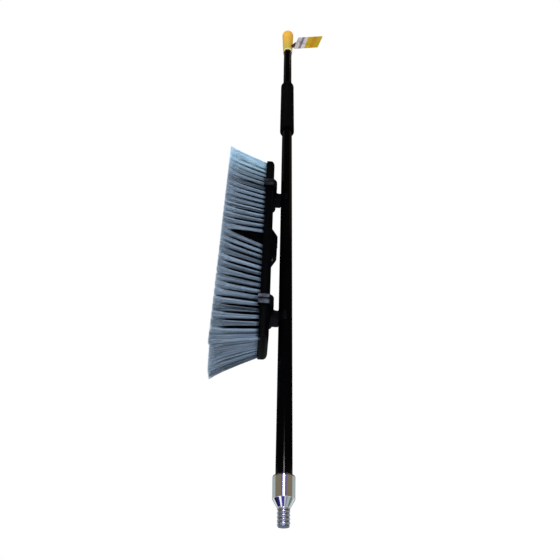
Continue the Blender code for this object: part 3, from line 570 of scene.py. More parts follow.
yellow_plastic, tree, shader, place = new_finish("yellow_cap_plastic", Specular_IOR_Level=0.2)
up = split(tree, place)["Z"]
# painted light from above and painted shade: lighter and more orange at the top, duller at the foot
body = mixed(tree, mapped(tree, up, CAP_FOOT, CAP_TOP, 0.0, 1.0), SHADED_FOOT_TONE, LIT_TOP_TONE)
# painted light from below: the lip is mixed towards a pale tone
body = mixed(tree, mapped(tree, up, RIM_FROM, RIM_TO, 0.8, 0.0), body, LIT_RIM_TONE)
cap_tone = place_group(tree, tone_drift, Place=place, First=WHITE,
                       Second=rgb(0.90, 0.88, 0.84), Scale=40.0)
body = mixed(tree, 1.0, body, cap_tone["Colour"], "MULTIPLY")
marks = place_group(tree, rub_marks, Place=place, Scale=90.0, Amount=0.25)["Mask"]
fill(tree, shader, Base_Color=mixed(tree, marks, body, RUBBED_TONE),
     Roughness=mapped(tree, marks, 0.0, 1.0, 0.42, 0.6))
surface = place_group(tree, mould_grain, Place=place, Scale=1300.0)
bumped(tree, shader, surface["Height"], 0.3, 0.00008)
print("finish:", yellow_plastic.name)

# %% [markdown]
# ## Hanging card
# The card is printed in plain fields only: pale grey by the strap, a dark stripe, a pale pink
# band, and yellow with an orange band to the end. The fields are steps along the card's
# length, so they have clean edges at any size. A light paper fibre runs through the colour
# and a bump.

# %% Printed card
FIELDS = (
    (0.0, rgb(0.66, 0.62, 0.64)),
    (0.175, rgb(0.24, 0.23, 0.30)),
    (0.275, rgb(0.76, 0.67, 0.68)),
    (0.42, rgb(0.64, 0.43, 0.006)),
    (0.62, rgb(0.66, 0.29, 0.004)),
    (0.78, rgb(0.60, 0.42, 0.006)),
)

tag_card, tree, shader, _ = new_finish("printed_card", Roughness=0.55, Specular_IOR_Level=0.3)
on_card = node(tree, "ShaderNodeUVMap", {"uv_map": "card"}).outputs["UV"]
fields = node(tree, "ShaderNodeValToRGB", Fac=split(tree, on_card)["X"])
stops = fields.color_ramp.elements
fields.color_ramp.interpolation = "CONSTANT"
for index, (start, colour) in enumerate(FIELDS):
    stop = stops[index] if index < 2 else stops.new(start)
    stop.position, stop.color = start, colour
paper = noise(tree, on_card, 60.0, 6.0)
paper_tone = mixed(tree, mapped(tree, paper, 0.3, 0.7, 0.0, 1.0), WHITE, rgb(0.88, 0.88, 0.87))
fill(tree, shader, Base_Color=mixed(tree, 1.0, fields.outputs["Color"], paper_tone, "MULTIPLY"))
bumped(tree, shader, paper, 0.15, 0.00005)
print("finish:", tag_card.name)

# %% [markdown]
# ## Fibres
# The outer fibres are pale blue-grey plastic and the inner ones are black. Each fibre has
# its own tone, which Random Per Island gives for free, because each fibre is a mesh island.
# Fibres that cling together share a value, kept as the mesh attribute "strand", and about
# half of these clumps are darkened, most at the root: painted shade between the clumps.
# The tone also goes from darker at the root to paler at the flagged tip, along X, which is
# painted shade deep in the tufts, and to paler still towards the head's upper end, along Z,
# which is painted light from above.

# %% Fibre tone and finishes
FIBRE_ROOT_X = -47.5 * MM
FIBRE_TIP_X = -127.5 * MM
TOP_LIGHT_FROM, TOP_LIGHT_FULL = 0.69, 0.75

fibre_tone, given = new_group(
    "Fibre tone", Root=rgb(0.2, 0.25, 0.3), Tip=rgb(0.4, 0.5, 0.55),
    Dark=rgb(0.1, 0.12, 0.15), Lit=rgb(0.6, 0.7, 0.8))
own = node(fibre_tone, "ShaderNodeNewGeometry").outputs["Random Per Island"]
parts = split(fibre_tone, given["Place"])
along = mapped(fibre_tone, parts["X"], FIBRE_ROOT_X, FIBRE_TIP_X, 0.0, 1.0)
# darker at the root than at the tip: painted shade deep in the tufts
body = mixed(fibre_tone, along, given["Root"], given["Tip"])
body = mixed(fibre_tone, mapped(fibre_tone, own, 0.0, 1.0, 0.0, 0.45), body, given["Dark"])
# about half the clumps are darkened, most at the root: painted shade between the clumps
strand = node(fibre_tone, "ShaderNodeAttribute", {"attribute_name": "strand"}).outputs["Fac"]
painted_clump_shade = maths(fibre_tone, "MULTIPLY", mapped(fibre_tone, strand, 0.45, 0.95, 0.0, 0.96),
                 mapped(fibre_tone, along, 0.6, 1.0, 1.0, 0.5))
body = mixed(fibre_tone, painted_clump_shade, body, given["Dark"])
# paler towards the head's upper end: painted light from above
painted_top_light = mapped(fibre_tone, parts["Z"], TOP_LIGHT_FROM, TOP_LIGHT_FULL, 0.0, 0.97)
close_group(fibre_tone, Colour=mixed(fibre_tone, painted_top_light, body, given["Lit"]), Own=own)


def fibre_finish(name, root, tip, dark, lit, gloss, **numbers):
    """A finish for loose fibres."""
    made, tree, shader, place = new_finish(name, **numbers)
    tone = place_group(tree, fibre_tone, Place=place, Root=root, Tip=tip, Dark=dark, Lit=lit)
    stained = place_group(tree, tone_drift, Place=place, First=WHITE,
                          Second=rgb(0.86, 0.87, 0.90), Scale=26.0)
    fill(tree, shader, Base_Color=mixed(tree, 1.0, tone["Colour"], stained["Colour"], "MULTIPLY"),
         Roughness=mapped(tree, tone["Own"], 0.0, 1.0, *gloss))
    return made


# Root is darker than Tip as painted shade, and Lit is the painted light of the upper end
pale_fibre = fibre_finish(
    "pale_blue_grey_fibre", rgb(0.33, 0.46, 0.63), rgb(0.46, 0.60, 0.76),
    rgb(0.020, 0.028, 0.048), rgb(0.58, 0.83, 1.0), (0.38, 0.6), Specular_IOR_Level=0.3)
black_fibre = fibre_finish(
    "black_fibre", rgb(0.0015, 0.0015, 0.002), rgb(0.003, 0.003, 0.004),
    rgb(0.001, 0.001, 0.001), rgb(0.002, 0.002, 0.003), (0.45, 0.65), Specular_IOR_Level=0.1)
print("fibres:", pale_fibre.name, black_fibre.name)

# %% [markdown]
# ## Helpers for meshes
# Nearly every piece is either turned about the pole or drawn through rings of points. skin()
# joins rings, soften() rounds the corners of an outline as a mould would, combined() joins and
# cuts, and piece() turns the result into an object that rides on its body and stands for its
# solid.

# %% Mesh helpers
def skin(bm, rings, closed=False):
    """Faces through rings of points: joined round on itself, or capped at both ends."""
    made = [[bm.verts.new(point) for point in ring] for ring in rings]
    pairs = list(zip(made, made[1:]))
    if closed:
        pairs.append((made[-1], made[0]))
    for first, second in pairs:
        for i in range(len(first)):
            j = (i + 1) % len(first)
            bm.faces.new((first[i], first[j], second[j], second[i]))
    if not closed:
        bm.faces.new(made[0])
        bm.faces.new(made[-1])


def skinned(rings, closed=False):
    """A new bmesh with one skin."""
    bm = bmesh.new()
    skin(bm, rings, closed)
    return bm


def soften(rows, radius, steps=4):
    """The same closed outline with its corners rounded off."""
    smooth = []
    for i, corner in enumerate(rows):
        here, before, after = Vector(corner), Vector(rows[i - 1]), Vector(rows[(i + 1) % len(rows)])
        start = here + (before - here).normalized() * min(radius, (before - here).length * 0.45)
        end = here + (after - here).normalized() * min(radius, (after - here).length * 0.45)
        for step in range(steps + 1):
            t = step / steps
            smooth.append(tuple((1 - t) ** 2 * start + 2 * t * (1 - t) * here + t * t * end))
    return smooth


def held(rows, closed, gap=0.6 * MM):
    """The same outline with points added near the ends of its long runs. They keep the
    shading of a long straight run from leaning towards its rounded ends."""
    kept = []
    for i, row in enumerate(rows):
        kept.append(tuple(row))
        if i + 1 == len(rows) and not closed:
            break
        here, after = Vector(row), Vector(rows[(i + 1) % len(rows)])
        if (after - here).length > 4 * gap:
            step = (after - here).normalized() * gap
            kept += [tuple(here + step), tuple(after - step)]
    return kept


def turned(rows, sides, closed=True, shape=None):
    """A mesh turned about the pole from (radius, height) rows. shape may change the radius."""
    rings = []
    for radius, z in held(rows, closed):
        ring = []
        for i in range(sides):
            angle = math.tau * i / sides
            r = shape(radius, angle, z) if shape else radius
            ring.append((r * math.cos(angle), r * math.sin(angle), z))
        rings.append(ring)
    return skinned(rings, closed)


def circle(centre_x, centre_y, radius, sides):
    return [(centre_x + radius * math.cos(math.tau * i / sides),
             centre_y + radius * math.sin(math.tau * i / sides)) for i in range(sides)]


def arc(centre, radius, start, end, steps=10):
    """Points from a start to an end angle, in degrees."""
    angles = [math.radians(start + (end - start) * i / steps) for i in range(steps + 1)]
    return [(centre[0] + radius * math.cos(a), centre[1] + radius * math.sin(a)) for a in angles]


def extruded(outline, low, high, axis=2):
    """An outline drawn out along an axis. Its numbers are the other two axes."""
    return skinned([[point[:axis] + (level,) + point[axis:] for point in outline]
                    for level in (low, high)])


def shaded(mesh, sharp):
    """The mesh smooth-shaded, with its edges over this angle kept sharp."""
    mesh.shade_smooth()
    mesh.set_sharp_from_angle(angle=math.radians(sharp))
    return mesh


def settle(name, bm, sharp=40):
    """A smooth-shaded mesh from a bmesh, its faces turned out."""
    bmesh.ops.recalc_face_normals(bm, faces=bm.faces)
    mesh = bpy.data.meshes.new(name)
    bm.to_mesh(mesh)
    bm.free()
    return shaded(mesh, sharp)


def box_mesh(name, low, high):
    corners = [low[:2], (high[0], low[1]), high[:2], (low[0], high[1])]
    return settle(name, extruded(corners, low[2], high[2]), 30)


def piece(name, shape, finish, body, nodes, sharp=40):
    """A finished piece that rides on its body and stands for these solids."""
    mesh = shape if isinstance(shape, bpy.types.Mesh) else settle(name, shape, sharp)
    obj = link_new(name, mesh)
    mesh.materials.clear()
    mesh.materials.append(finish)
    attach(obj, body)
    if nodes:
        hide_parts(*nodes)
    print(name, "-", len(mesh.vertices), "points on", body)
    return obj


def baked(obj, name):
    """The mesh that an object's modifiers give, with the object itself removed."""
    graph = bpy.context.evaluated_depsgraph_get()
    mesh = bpy.data.meshes.new_from_object(obj.evaluated_get(graph))
    mesh.name = name
    bpy.data.objects.remove(obj)
    return mesh


def combined(name, base, cuts, joins=(), bevel=None, remesh=None):
    """base joined with helper meshes and then cut by others, its edges or its skin softened."""
    work = link_new(name + "_work", base)
    helpers = []
    if bevel:
        edges = work.modifiers.new("edges", "BEVEL")
        edges.width, edges.segments, edges.limit_method = bevel, 3, "ANGLE"
    for operation, mesh in [("UNION", m) for m in joins] + [("DIFFERENCE", m) for m in cuts]:
        helper = link_new(name + "_helper", mesh)
        helpers.append(helper)
        cut = work.modifiers.new("cut", "BOOLEAN")
        cut.operation, cut.solver, cut.object = operation, "EXACT", helper
    if remesh:
        even = work.modifiers.new("even", "REMESH")
        even.mode, even.voxel_size = "VOXEL", remesh
        calm = work.modifiers.new("calm", "SMOOTH")
        calm.factor, calm.iterations = 0.5, 4
    bpy.context.view_layer.update()
    mesh = baked(work, name)
    for helper in helpers:
        bpy.data.objects.remove(helper)
    return mesh


print("mesh helpers ready")

# %% [markdown]
# ## Pole tubes
# Both tubes are thin drawn tubes under black gloss paint. They are plain turned rings with
# the edges of their ends rounded, and with enough sides to look round close up.

# %% Outer and inner tube
TUBES = (("outer_tube", 0.6 * MM, "outer_pole"), ("inner_tube", 0.7 * MM, "inner_pole"))
for tube, wall, body in TUBES:
    low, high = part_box(tube)
    radius = high.x
    outline = [(radius - wall, low.z), (radius, low.z), (radius, high.z), (radius - wall, high.z)]
    shape = turned(soften(outline, 0.25 * MM, 3), 96)
    piece(tube + "_fine", shape, black_paint, body, [tube])

# %% [markdown]
# ## Threaded tip
# Heads screw on to this tip: a coarse thread of 5 turns to the inch. Its shape is a function
# of angle and height: a ridge that follows a helix, rises out of the root at the end and
# fades under the ferrule. A Screw modifier could draw it, but would leave an open strip; a
# function of the turned rings gives one closed skin. Its crests were read from the photograph
# once more, and lie a little inside the solid's.

# %% Thread as a function of angle and height
THREAD_LENGTH = 22.2 * MM
THREAD_PITCH = 5.08 * MM
THREAD_DEPTH = 1.1 * MM
THREAD_RADIUS = 9.25 * MM
THREAD_START, THREAD_ROWS = 0.25 * MM, 130
THREAD_RISE, THREAD_FADE = 3.0 * MM, 2.0 * MM


def clamp(value):
    return max(0.0, min(1.0, value))


def helix(angle, z):
    """0 in the root and 1 on the crest of a right-hand thread."""
    return clamp(0.5 + 0.95 * math.cos(math.tau * (z / THREAD_PITCH - angle / math.tau)))


def thread_shape(radius, angle, z):
    """The thread between the end face and the ferrule. Other rows keep their radius."""
    if radius != THREAD_RADIUS:
        return radius
    rise = clamp(z / THREAD_RISE) * clamp((THREAD_LENGTH - z) / THREAD_FADE)
    return THREAD_RADIUS - THREAD_DEPTH * (1 - helix(angle, z) * rise)


tip_rows = in_mm([(6.6, 0.0), (7.5, 0.06)])
tip_rows += [(THREAD_RADIUS, THREAD_START + (THREAD_LENGTH - THREAD_START) * i / THREAD_ROWS)
             for i in range(THREAD_ROWS + 1)]
tip_rows += in_mm([(8.2, 22.5), (8.2, 25.4), (15.0, 37.0), (15.6, 64.1), (13.1, 64.1),
                   (13.1, 40.1), (11.7, 40.1), (11.7, 90.0), (9.4, 90.0), (9.4, 44.0)])
piece("threaded_tip_fine", turned(tip_rows, 120, False, thread_shape), cast_metal,
      "outer_pole", ["threaded_tip"])

# %% [markdown]
# ## Ferrule
# A chromed cup covers the joint of tip and tube: a cone, a straight collar and a rounded top
# edge. Its outline was read from the photograph once more and lies a little inside the
# solid's. Its corners are rolled over as pressed metal has them.

# %% Chromed ferrule
EDGE_CENTRE, EDGE_RADIUS = (14.55, 66.1), 2.4
ferrule = [(8.7, 22.5), (9.3, 22.5), (9.4, 24.3), (16.5, 35.9)]
ferrule += arc(EDGE_CENTRE, EDGE_RADIUS, 0, 90, 9)
ferrule += [(13.1, 68.5), (13.1, 67.3), (15.6, 67.3), (15.7, 36.4), (8.7, 24.7)]
piece("tip_ferrule_fine", turned(soften(in_mm(ferrule), 0.7 * MM, 6), 160), chrome,
      "outer_pole", ["tip_ferrule"], 50)

# %% [markdown]
# ## Twist grip
# The grip is a rubber sleeve with shallow flutes that stop short of both ends, and a blunt
# nose round the inner tube. The flutes are again a function of the angle. They fade
# in and out with height, which a cut with rods would not give.

# %% Fluted sleeve
GRIP_FOOT, GRIP_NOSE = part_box("grip_sleeve")[0].z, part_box("grip_sleeve")[1].z
GRIP_RADIUS = 18.25 * MM
GRIP_NOSE_HEIGHT = 6.0 * MM
GRIP_SHOULDER = GRIP_NOSE - GRIP_NOSE_HEIGHT
FLUTES, FLUTE_DEPTH, FLUTE_FADE = 16, 0.5 * MM, 6.0 * MM
FLUTES_FROM, FLUTES_TO = GRIP_FOOT + 12.0 * MM, GRIP_SHOULDER - 8.0 * MM
GROOVES, GROOVE_DEPTH, GROOVE_WIDTH = (6.0 * MM, 2.0 * MM), 0.45 * MM, 0.8 * MM
FOOT_EDGE, FINE_STEP, FINE_LENGTH = 1.0 * MM, 0.25 * MM, 16.0 * MM
GRIP_BORE, FLUTED_BAND = 13.0 * MM, 1.2 * MM


def flute_shape(radius, angle, z):
    """Sixteen shallow flutes, and a ring groove near each end."""
    if radius < GRIP_RADIUS - FLUTED_BAND or z > GRIP_SHOULDER:
        return radius
    fade = clamp((z - FLUTES_FROM) / FLUTE_FADE) * clamp((FLUTES_TO - z) / FLUTE_FADE)
    dip = FLUTE_DEPTH * (1 - math.cos(FLUTES * angle)) / 2 * fade
    for ring in (GRIP_FOOT + GROOVES[0], GRIP_SHOULDER - GROOVES[1]):
        dip += GROOVE_DEPTH * math.exp(-((z - ring) / GROOVE_WIDTH) ** 2)
    return radius - dip


grip_rows = [(GRIP_BORE, GRIP_FOOT)] + [
    (GRIP_RADIUS - FOOT_EDGE * (1 - math.sin(a)), GRIP_FOOT + FOOT_EDGE * (1 - math.cos(a)))
    for a in (0.0, 0.4, 0.8, 1.2, math.pi / 2)]
grip_rows += [(GRIP_RADIUS, GRIP_FOOT + FOOT_EDGE + FINE_STEP * i) for i in range(1, 60)]
straight = GRIP_SHOULDER - GRIP_FOOT - 2 * FINE_LENGTH
grip_rows += [(GRIP_RADIUS, GRIP_FOOT + FINE_LENGTH + straight * i / 20) for i in range(1, 20)]
grip_rows += [(GRIP_RADIUS, GRIP_SHOULDER - FINE_LENGTH + FINE_STEP * i) for i in range(65)]
NOSE = ((0.2, 0.995), (0.4, 0.97), (0.6, 0.92), (0.75, 0.85), (0.87, 0.75), (0.95, 0.62),
        (0.99, 0.45), (1.0, 0.0))
grip_rows += [((13.1 + out * 5.15) * MM, GRIP_SHOULDER + up * GRIP_NOSE_HEIGHT) for up, out in NOSE]
INSIDE = ((12.1, 0.0), (12.1, 5.0), (16.9, 13.0), (16.9, 66.0), (13.0, 66.5))
grip_rows += [(r, GRIP_NOSE - down) for r, down in in_mm(INSIDE)]
piece("grip_sleeve_fine", turned(grip_rows, 160, True, flute_shape), grip_rubber,
      "twist_grip", ["grip_sleeve"], 50)

# %% [markdown]
# ## End cap
# A closed yellow cap over the top of the inner tube, a cone that widens towards its top.
# It has a rolled lip at its foot. The outline is turned once and capped at the axis.

# %% Yellow end cap
CAP_LIP = ((11.95, 1.0), (12.4, 0.0), (13.6, 0.0), (14.1, 0.3), (14.3, 1.0), (14.4, 4.6),
           (14.1, 5.2), (14.1, 6.0), (14.5, 6.6))
CAP_EDGE, CAP_EDGE_CENTRE = 4.0, 14.0
CAP_BORE, CAP_DEPTH = 11.95 * MM, 15.0 * MM

cap_rows = [(CAP_BORE, CAP_TOP - CAP_DEPTH)]
cap_rows += [(r, CAP_FOOT + up) for r, up in in_mm(CAP_LIP)]
for i in range(13):
    angle = math.radians(90 * i / 12)
    cap_rows.append(((CAP_EDGE_CENTRE + CAP_EDGE * math.cos(angle)) * MM,
                     CAP_TOP - CAP_EDGE * MM * (1 - math.sin(angle))))
piece("end_cap_fine", turned(cap_rows, 128, False), yellow_plastic,
      "inner_pole", ["end_cap"], 50)

# %% [markdown]
# ## Hanging card and its strap
# A stiff card stands out from the cap on a short dark red strap. The card is drawn flat, its
# corners rounded and a hole punched through it, and then it is turned into place. Its flat
# place is kept as a UV map, which the printed fields use.

# %% Card and strap
TAG_LENGTH, TAG_WIDTH, TAG_HALF_THICK, TAG_ROUND = 85.0 * MM, 50.0 * MM, 0.4 * MM, 3.0 * MM
HOLE_PLACE, HOLE_RADIUS, PUNCH_REACH = (7.0 * MM, -25.0 * MM), 3.0 * MM, 2.0 * MM
TAG_CORNER = (18.9 * MM, 0.0, 1416.0 * MM)
TAG_ANGLES = ((3, "Z"), (-22, "Y"), (24.5, "X"))
STRAP = ((-12.0, -2.0), (7.0, -6.0), (7.0, -28.0), (-2.0, -28.0), (-12.0, -15.0))
STRAP_ROUND, STRAP_UNDER, STRAP_OVER = 2.5 * MM, 0.7 * MM, 1.9 * MM
# radius of the room for the cap that is cut from the strap
ROOM_AT_FOOT, ROOM_AT_TOP = 14.5 * MM, 18.3 * MM

tag_place = Matrix.Translation(TAG_CORNER)
for degrees, axis in TAG_ANGLES:
    tag_place = tag_place @ Matrix.Rotation(math.radians(degrees), 4, axis)

card_outline = [(0.0, 0.0), (TAG_LENGTH, 0.0), (TAG_LENGTH, -TAG_WIDTH), (0.0, -TAG_WIDTH)]
card_outline = soften(card_outline, TAG_ROUND, 6)
hole = circle(*HOLE_PLACE, HOLE_RADIUS, 32)
card_sheet = extruded(card_outline, -TAG_HALF_THICK, TAG_HALF_THICK)
card_blank = settle("card_blank", card_sheet, 30)
punch = settle("punch", extruded(hole, -PUNCH_REACH, PUNCH_REACH), 30)
card = combined("hang_tag_fine", card_blank, [punch])
card_uv = card.uv_layers.new(name="card")
for loop in card.loops:
    flat = card.vertices[loop.vertex_index].co
    card_uv.data[loop.index].uv = (flat.x / TAG_LENGTH, 1 + flat.y / TAG_WIDTH)
card.transform(tag_place)
piece("hang_tag_fine", card, tag_card, "inner_pole", ["hang_tag"])

strap_outline = soften(in_mm(STRAP), STRAP_ROUND, 5)
strap_blank = settle("strap_blank", extruded(strap_outline, STRAP_UNDER, STRAP_OVER), 30)
strap_blank.transform(tag_place)
cap_cone = turned([(ROOM_AT_FOOT, CAP_FOOT), (ROOM_AT_TOP, CAP_TOP)], 96, False)
strap = combined("tag_strap", strap_blank, [settle("cap_room", cap_cone)], bevel=0.35 * MM)
piece("tag_strap", shaded(strap, 40), red_strap, "inner_pole", ["tag_tab"])

# %% [markdown]
# ## Head block
# The block is one moulding: rounded on its back, nearly square on the face that carries the
# bristles. It is drawn through rounded rectangles that step back in X, and a pocket is cut
# for the handle socket. Rings give rounder corners than a bevelled box.

# %% Block
BLOCK_BACK, BLOCK_FACE = -30.0 * MM, -47.5 * MM
BLOCK_HALF_WIDTH, BLOCK_HALF_LENGTH = 38.0 * MM, 241.5 * MM
BLOCK_CORNER, BACK_ROUND = 1.5 * MM, 8.0 * MM
CORNERS = ((1, 1, 0), (-1, 1, 90), (-1, -1, 180), (1, -1, 270))
FACE_EDGE = ((0.0, 0.9), (0.25, 0.35), (0.8, 0.0))
POCKET_DEEP, POCKET_HALF_WIDTH, POCKET_HALF_LENGTH = -42.8 * MM, 20.8 * MM, 24.3 * MM


def block_ring(x, inset):
    """A rounded rectangle across X, centred on the head and set in all round."""
    half_y = BLOCK_HALF_WIDTH - inset - BLOCK_CORNER
    half_z = BLOCK_HALF_LENGTH - inset - BLOCK_CORNER
    ring = []
    for side_y, side_z, start in CORNERS:
        ring += arc((side_y * half_y, side_z * half_z), BLOCK_CORNER, start, start + 90, 8)
    return [(x, y, HEAD_CENTRE + z) for y, z in ring]


block_rings = [block_ring(BLOCK_FACE + back, inset) for back, inset in in_mm(FACE_EDGE)]
for i in range(11):
    angle = math.radians(90 * i / 10)
    block_rings.append(block_ring(BLOCK_BACK - BACK_ROUND * (1 - math.sin(angle)),
                                  BACK_ROUND * (1 - math.cos(angle))))
pocket = box_mesh("pocket", (POCKET_DEEP, -POCKET_HALF_WIDTH, HEAD_CENTRE - POCKET_HALF_LENGTH),
                  (BLOCK_BACK + 2.0 * MM, POCKET_HALF_WIDTH, HEAD_CENTRE + POCKET_HALF_LENGTH))
block = combined("head_block_fine", settle("block_blank", skinned(block_rings)), [pocket])
piece("head_block_fine", block, black_plastic, "broom_head", ["head_block"])

# %% [markdown]
# ## Handle socket
# The raised boss takes the pole's tip in one of two leaning, threaded bores, so the pole can
# change side as it wears the bristles. The boss is a trapezoid with rounded edges. The bores
# are cut with a turned tool that carries the thread, as a tap does.

# %% Boss with two threaded bores
SOCKET_HALF_WIDTH = 20.5 * MM
BORE_RADIUS, BORE_THREAD, BORE_LEAN, BORE_SHIFT = 9.825 * MM, 1.3 * MM, 30, 11.2 * MM
BORE_START, TAP_START, TAP_STEP, TAP_ROWS = -34.0 * MM, -3.0, 0.4, 76
SCREW_SHIFT, SEAT_RADIUS, SEAT_FLOOR, SEAT_CLEAR = 29.5 * MM, 4.1 * MM, -28.7 * MM, -10.0 * MM
HALF_BOSS = [(-42.5, 24.0), (-29.7, 24.0), (-29.7, 37.0), (-18.5, 15.0)]


def tap_mesh(lean, z_shift):
    """A tool shaped like the bore with its thread, leaning to one side."""
    rows = [(BORE_RADIUS, (TAP_START + TAP_STEP * i) * MM) for i in range(TAP_ROWS)]
    tap = turned(rows, 64, False, lambda r, angle, z: r - BORE_THREAD * (1 - helix(angle, z)))
    mesh = settle("tap", tap)
    upright = Matrix.Rotation(math.radians(90), 4, "Y")
    start = Vector((BORE_START, 0.0, HEAD_CENTRE + z_shift))
    mesh.transform(Matrix.Translation(start) @ Matrix.Rotation(lean, 4, "Z") @ upright)
    return mesh


boss_outline = [(x * MM, HEAD_CENTRE + z * MM) for x, z in HALF_BOSS]
boss_outline += [(x * MM, HEAD_CENTRE - z * MM) for x, z in reversed(HALF_BOSS)]
boss_bar = extruded(boss_outline, -SOCKET_HALF_WIDTH, SOCKET_HALF_WIDTH, 1)
tools = [tap_mesh(math.radians(side * BORE_LEAN), side * BORE_SHIFT) for side in (-1, 1)]
for side in (-1, 1):
    seat = circle(0.0, HEAD_CENTRE + side * SCREW_SHIFT, SEAT_RADIUS, 40)
    tools.append(settle("seat_tool", extruded(seat, SEAT_FLOOR, SEAT_CLEAR, 0)))
boss = combined("handle_socket_fine", settle("boss_blank", boss_bar, 30), tools, bevel=1.1 * MM)
piece("handle_socket_fine", shaded(boss, 38), navy_plastic, "broom_head", ["handle_socket"])

# %% [markdown]
# ## Socket screws
# Two pan-head screws hold the socket. Each is turned about its own axis and a cross is cut
# in its head.

# %% Two screws with cross heads
SCREW_ROWS = ((0.4, -11.0), (2.0, -9.4), (2.0, 0.0), (3.8, 0.0), (3.8, 1.0), (3.3, 1.7),
              (2.2, 2.15), (0.5, 2.2))
CROSS = in_mm([(2.3, 0.45), (0.45, 2.3)])
SCREW_HEAD, CROSS_FLOOR, CROSS_CLEAR = -28.4 * MM, 1.2 * MM, 4.0 * MM
for name, side in (("socket_screw_lower", -1), ("socket_screw_upper", 1)):
    blank = settle(name + "_blank", turned(in_mm(SCREW_ROWS), 48, False))
    cross = [box_mesh("cross", (-a, -b, CROSS_FLOOR), (a, b, CROSS_CLEAR)) for a, b in CROSS]
    screw = combined(name + "_fine", blank, cross)
    seat = Matrix.Translation((SCREW_HEAD, 0.0, HEAD_CENTRE + side * SCREW_SHIFT))
    screw.transform(seat @ Matrix.Rotation(math.radians(90), 4, "Y"))
    piece(name + "_fine", screw, screw_steel, "broom_head", [name])

# %% [markdown]
# ## Clips
# Two clips hold the head on the pole. Each has a ribbed saddle round the block, a web and an
# open ring that snaps on the tube. The parts are drawn apart, joined, bored for the tube and
# then remeshed to an even skin and calmed, which rounds every inner corner as in a moulding.
# Bevelling the joined shape edge by edge would miss the corners where three parts meet.

# %% Ribbed clips
SADDLE_LENGTH = 22.0 * MM
SADDLE_RISE = 12.5 * MM
WEB_TOP = 19.5 * MM
WEB_BACK, WEB_FRONT, WEB_HALF_WIDTH = -29.4 * MM, -12.7 * MM, 13.0 * MM
WEB_EDGE, WEB_CURVE, EDGE_CENTRE_X, CURVE_CENTRE_X = 2.8 * MM, 7.0 * MM, -15.5 * MM, -17.3 * MM
RING_RADIUS, RING_OPENS = 15.7 * MM, (84.9, 275.1)
SIDE_RIB, BACK_RIB = 1.5 * MM, 2.0 * MM
INSIDE_CENTRE, INSIDE_ROUND, OUTSIDE_ROUND = (-38.0 * MM, 30.0 * MM), 8.3 * MM, 11.0 * MM
RIBS = ((0.0, 0.2), (0.03, 0.8), (0.10, 1.0), (0.38, 1.0), (0.44, 0.8), (0.49, 0.0), (0.60, 0.0),
        (0.65, 0.8), (0.70, 1.0), (0.90, 1.0), (0.96, 0.8), (1.0, 0.2))


def saddle_ring(share):
    """Section of the saddle round the block, its outside raised by a share of its ribs."""
    low_x, lip_x, lip_y, inner_y = -52.0 * MM, -47.8 * MM, 35.0 * MM, 38.3 * MM
    outer_y, outer_x = 41.1 * MM + share * SIDE_RIB, -24.8 * MM + share * BACK_RIB
    half_ring = [(lip_x, lip_y), (lip_x, inner_y)]
    half_ring += arc(INSIDE_CENTRE, INSIDE_ROUND, 90, 0)
    corner = OUTSIDE_ROUND + share * SIDE_RIB
    outside = arc((outer_x - corner, outer_y - corner), corner, 0, 90)
    outside += [(low_x, outer_y), (low_x, lip_y)]
    mirrored = [(x, -y) for x, y in reversed(half_ring)]
    return half_ring + mirrored + [(x, -y) for x, y in reversed(outside)] + outside


def clip_mesh(name, bottom):
    """The whole clip, standing at its place on the head."""
    rings = [[(x, y, SADDLE_RISE + up * SADDLE_LENGTH) for x, y in saddle_ring(share)]
             for up, share in RIBS]
    saddle = settle(name + "_saddle", skinned(rings))
    web = [(WEB_BACK, 0.0), (WEB_FRONT, 0.0), (WEB_FRONT, WEB_TOP + 2.0 * MM)]
    web += arc((EDGE_CENTRE_X, WEB_TOP + WEB_EDGE), WEB_EDGE, 0, -90)[1:]
    web += arc((CURVE_CENTRE_X, WEB_TOP + WEB_CURVE), WEB_CURVE, 270, 180)
    web += [(WEB_BACK, WEB_TOP + WEB_CURVE)]
    web_mesh = settle(name + "_web", extruded(web, -WEB_HALF_WIDTH, WEB_HALF_WIDTH, 1))
    ring = arc((0.0, 0.0), RING_RADIUS, *RING_OPENS, 40)
    ring_mesh = settle(name + "_ring", extruded(ring, 0.0, WEB_TOP))
    bore = settle(name + "_bore", turned(in_mm([(13.0, -2.0), (13.0, 30.0)]), 96, False))
    mesh = combined(name, saddle, [bore], [web_mesh, ring_mesh], remesh=0.55 * MM)
    mesh.transform(Matrix.Translation((0.0, 0.0, bottom)))
    mesh.shade_smooth()
    return mesh


for name, body in (("lower_clip", "clip_lower"), ("upper_clip", "clip_upper")):
    mesh = clip_mesh(name + "_fine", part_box(name)[0].z)
    piece(name + "_fine", mesh, clip_finishes[name], body, [name])

# %% [markdown]
# ## Bristles
# The bristles give the broom its look. Each tuft is a bunch of fibres pressed into one hole:
# narrow and dense at the root, spreading towards flagged, trimmed tips where neighbouring
# tufts merge. Every fibre here is its own thin tapered tube with three sides. A hair system
# would be quicker to set up, but gives no solid mesh to keep. numpy places all the fibres of
# a group at once.

# %% One mesh of fibres
RING_STEPS = (0.0, 0.12, 0.38, 0.70, 1.0)
FLAG_STEPS = (0.74, 0.88, 1.0)
SPREAD_POWER, TIP_SCATTER, BEND = 3.6, 0.16, 0.45 * MM
TRIM, TRIM_LIMITS = 0.5 * MM, (-1.0 * MM, 1.6 * MM)
FLAG_SPREAD, FLAG_END = 1.3 * MM, 0.55
FLAG_TRIM, FLAG_TRIM_LIMITS = 0.6 * MM, (-1.2 * MM, 2.0 * MM)
ROOT_DEPTH = 2.0 * MM
CLUMPS, CLUMP_EDGE = 7, 0.62


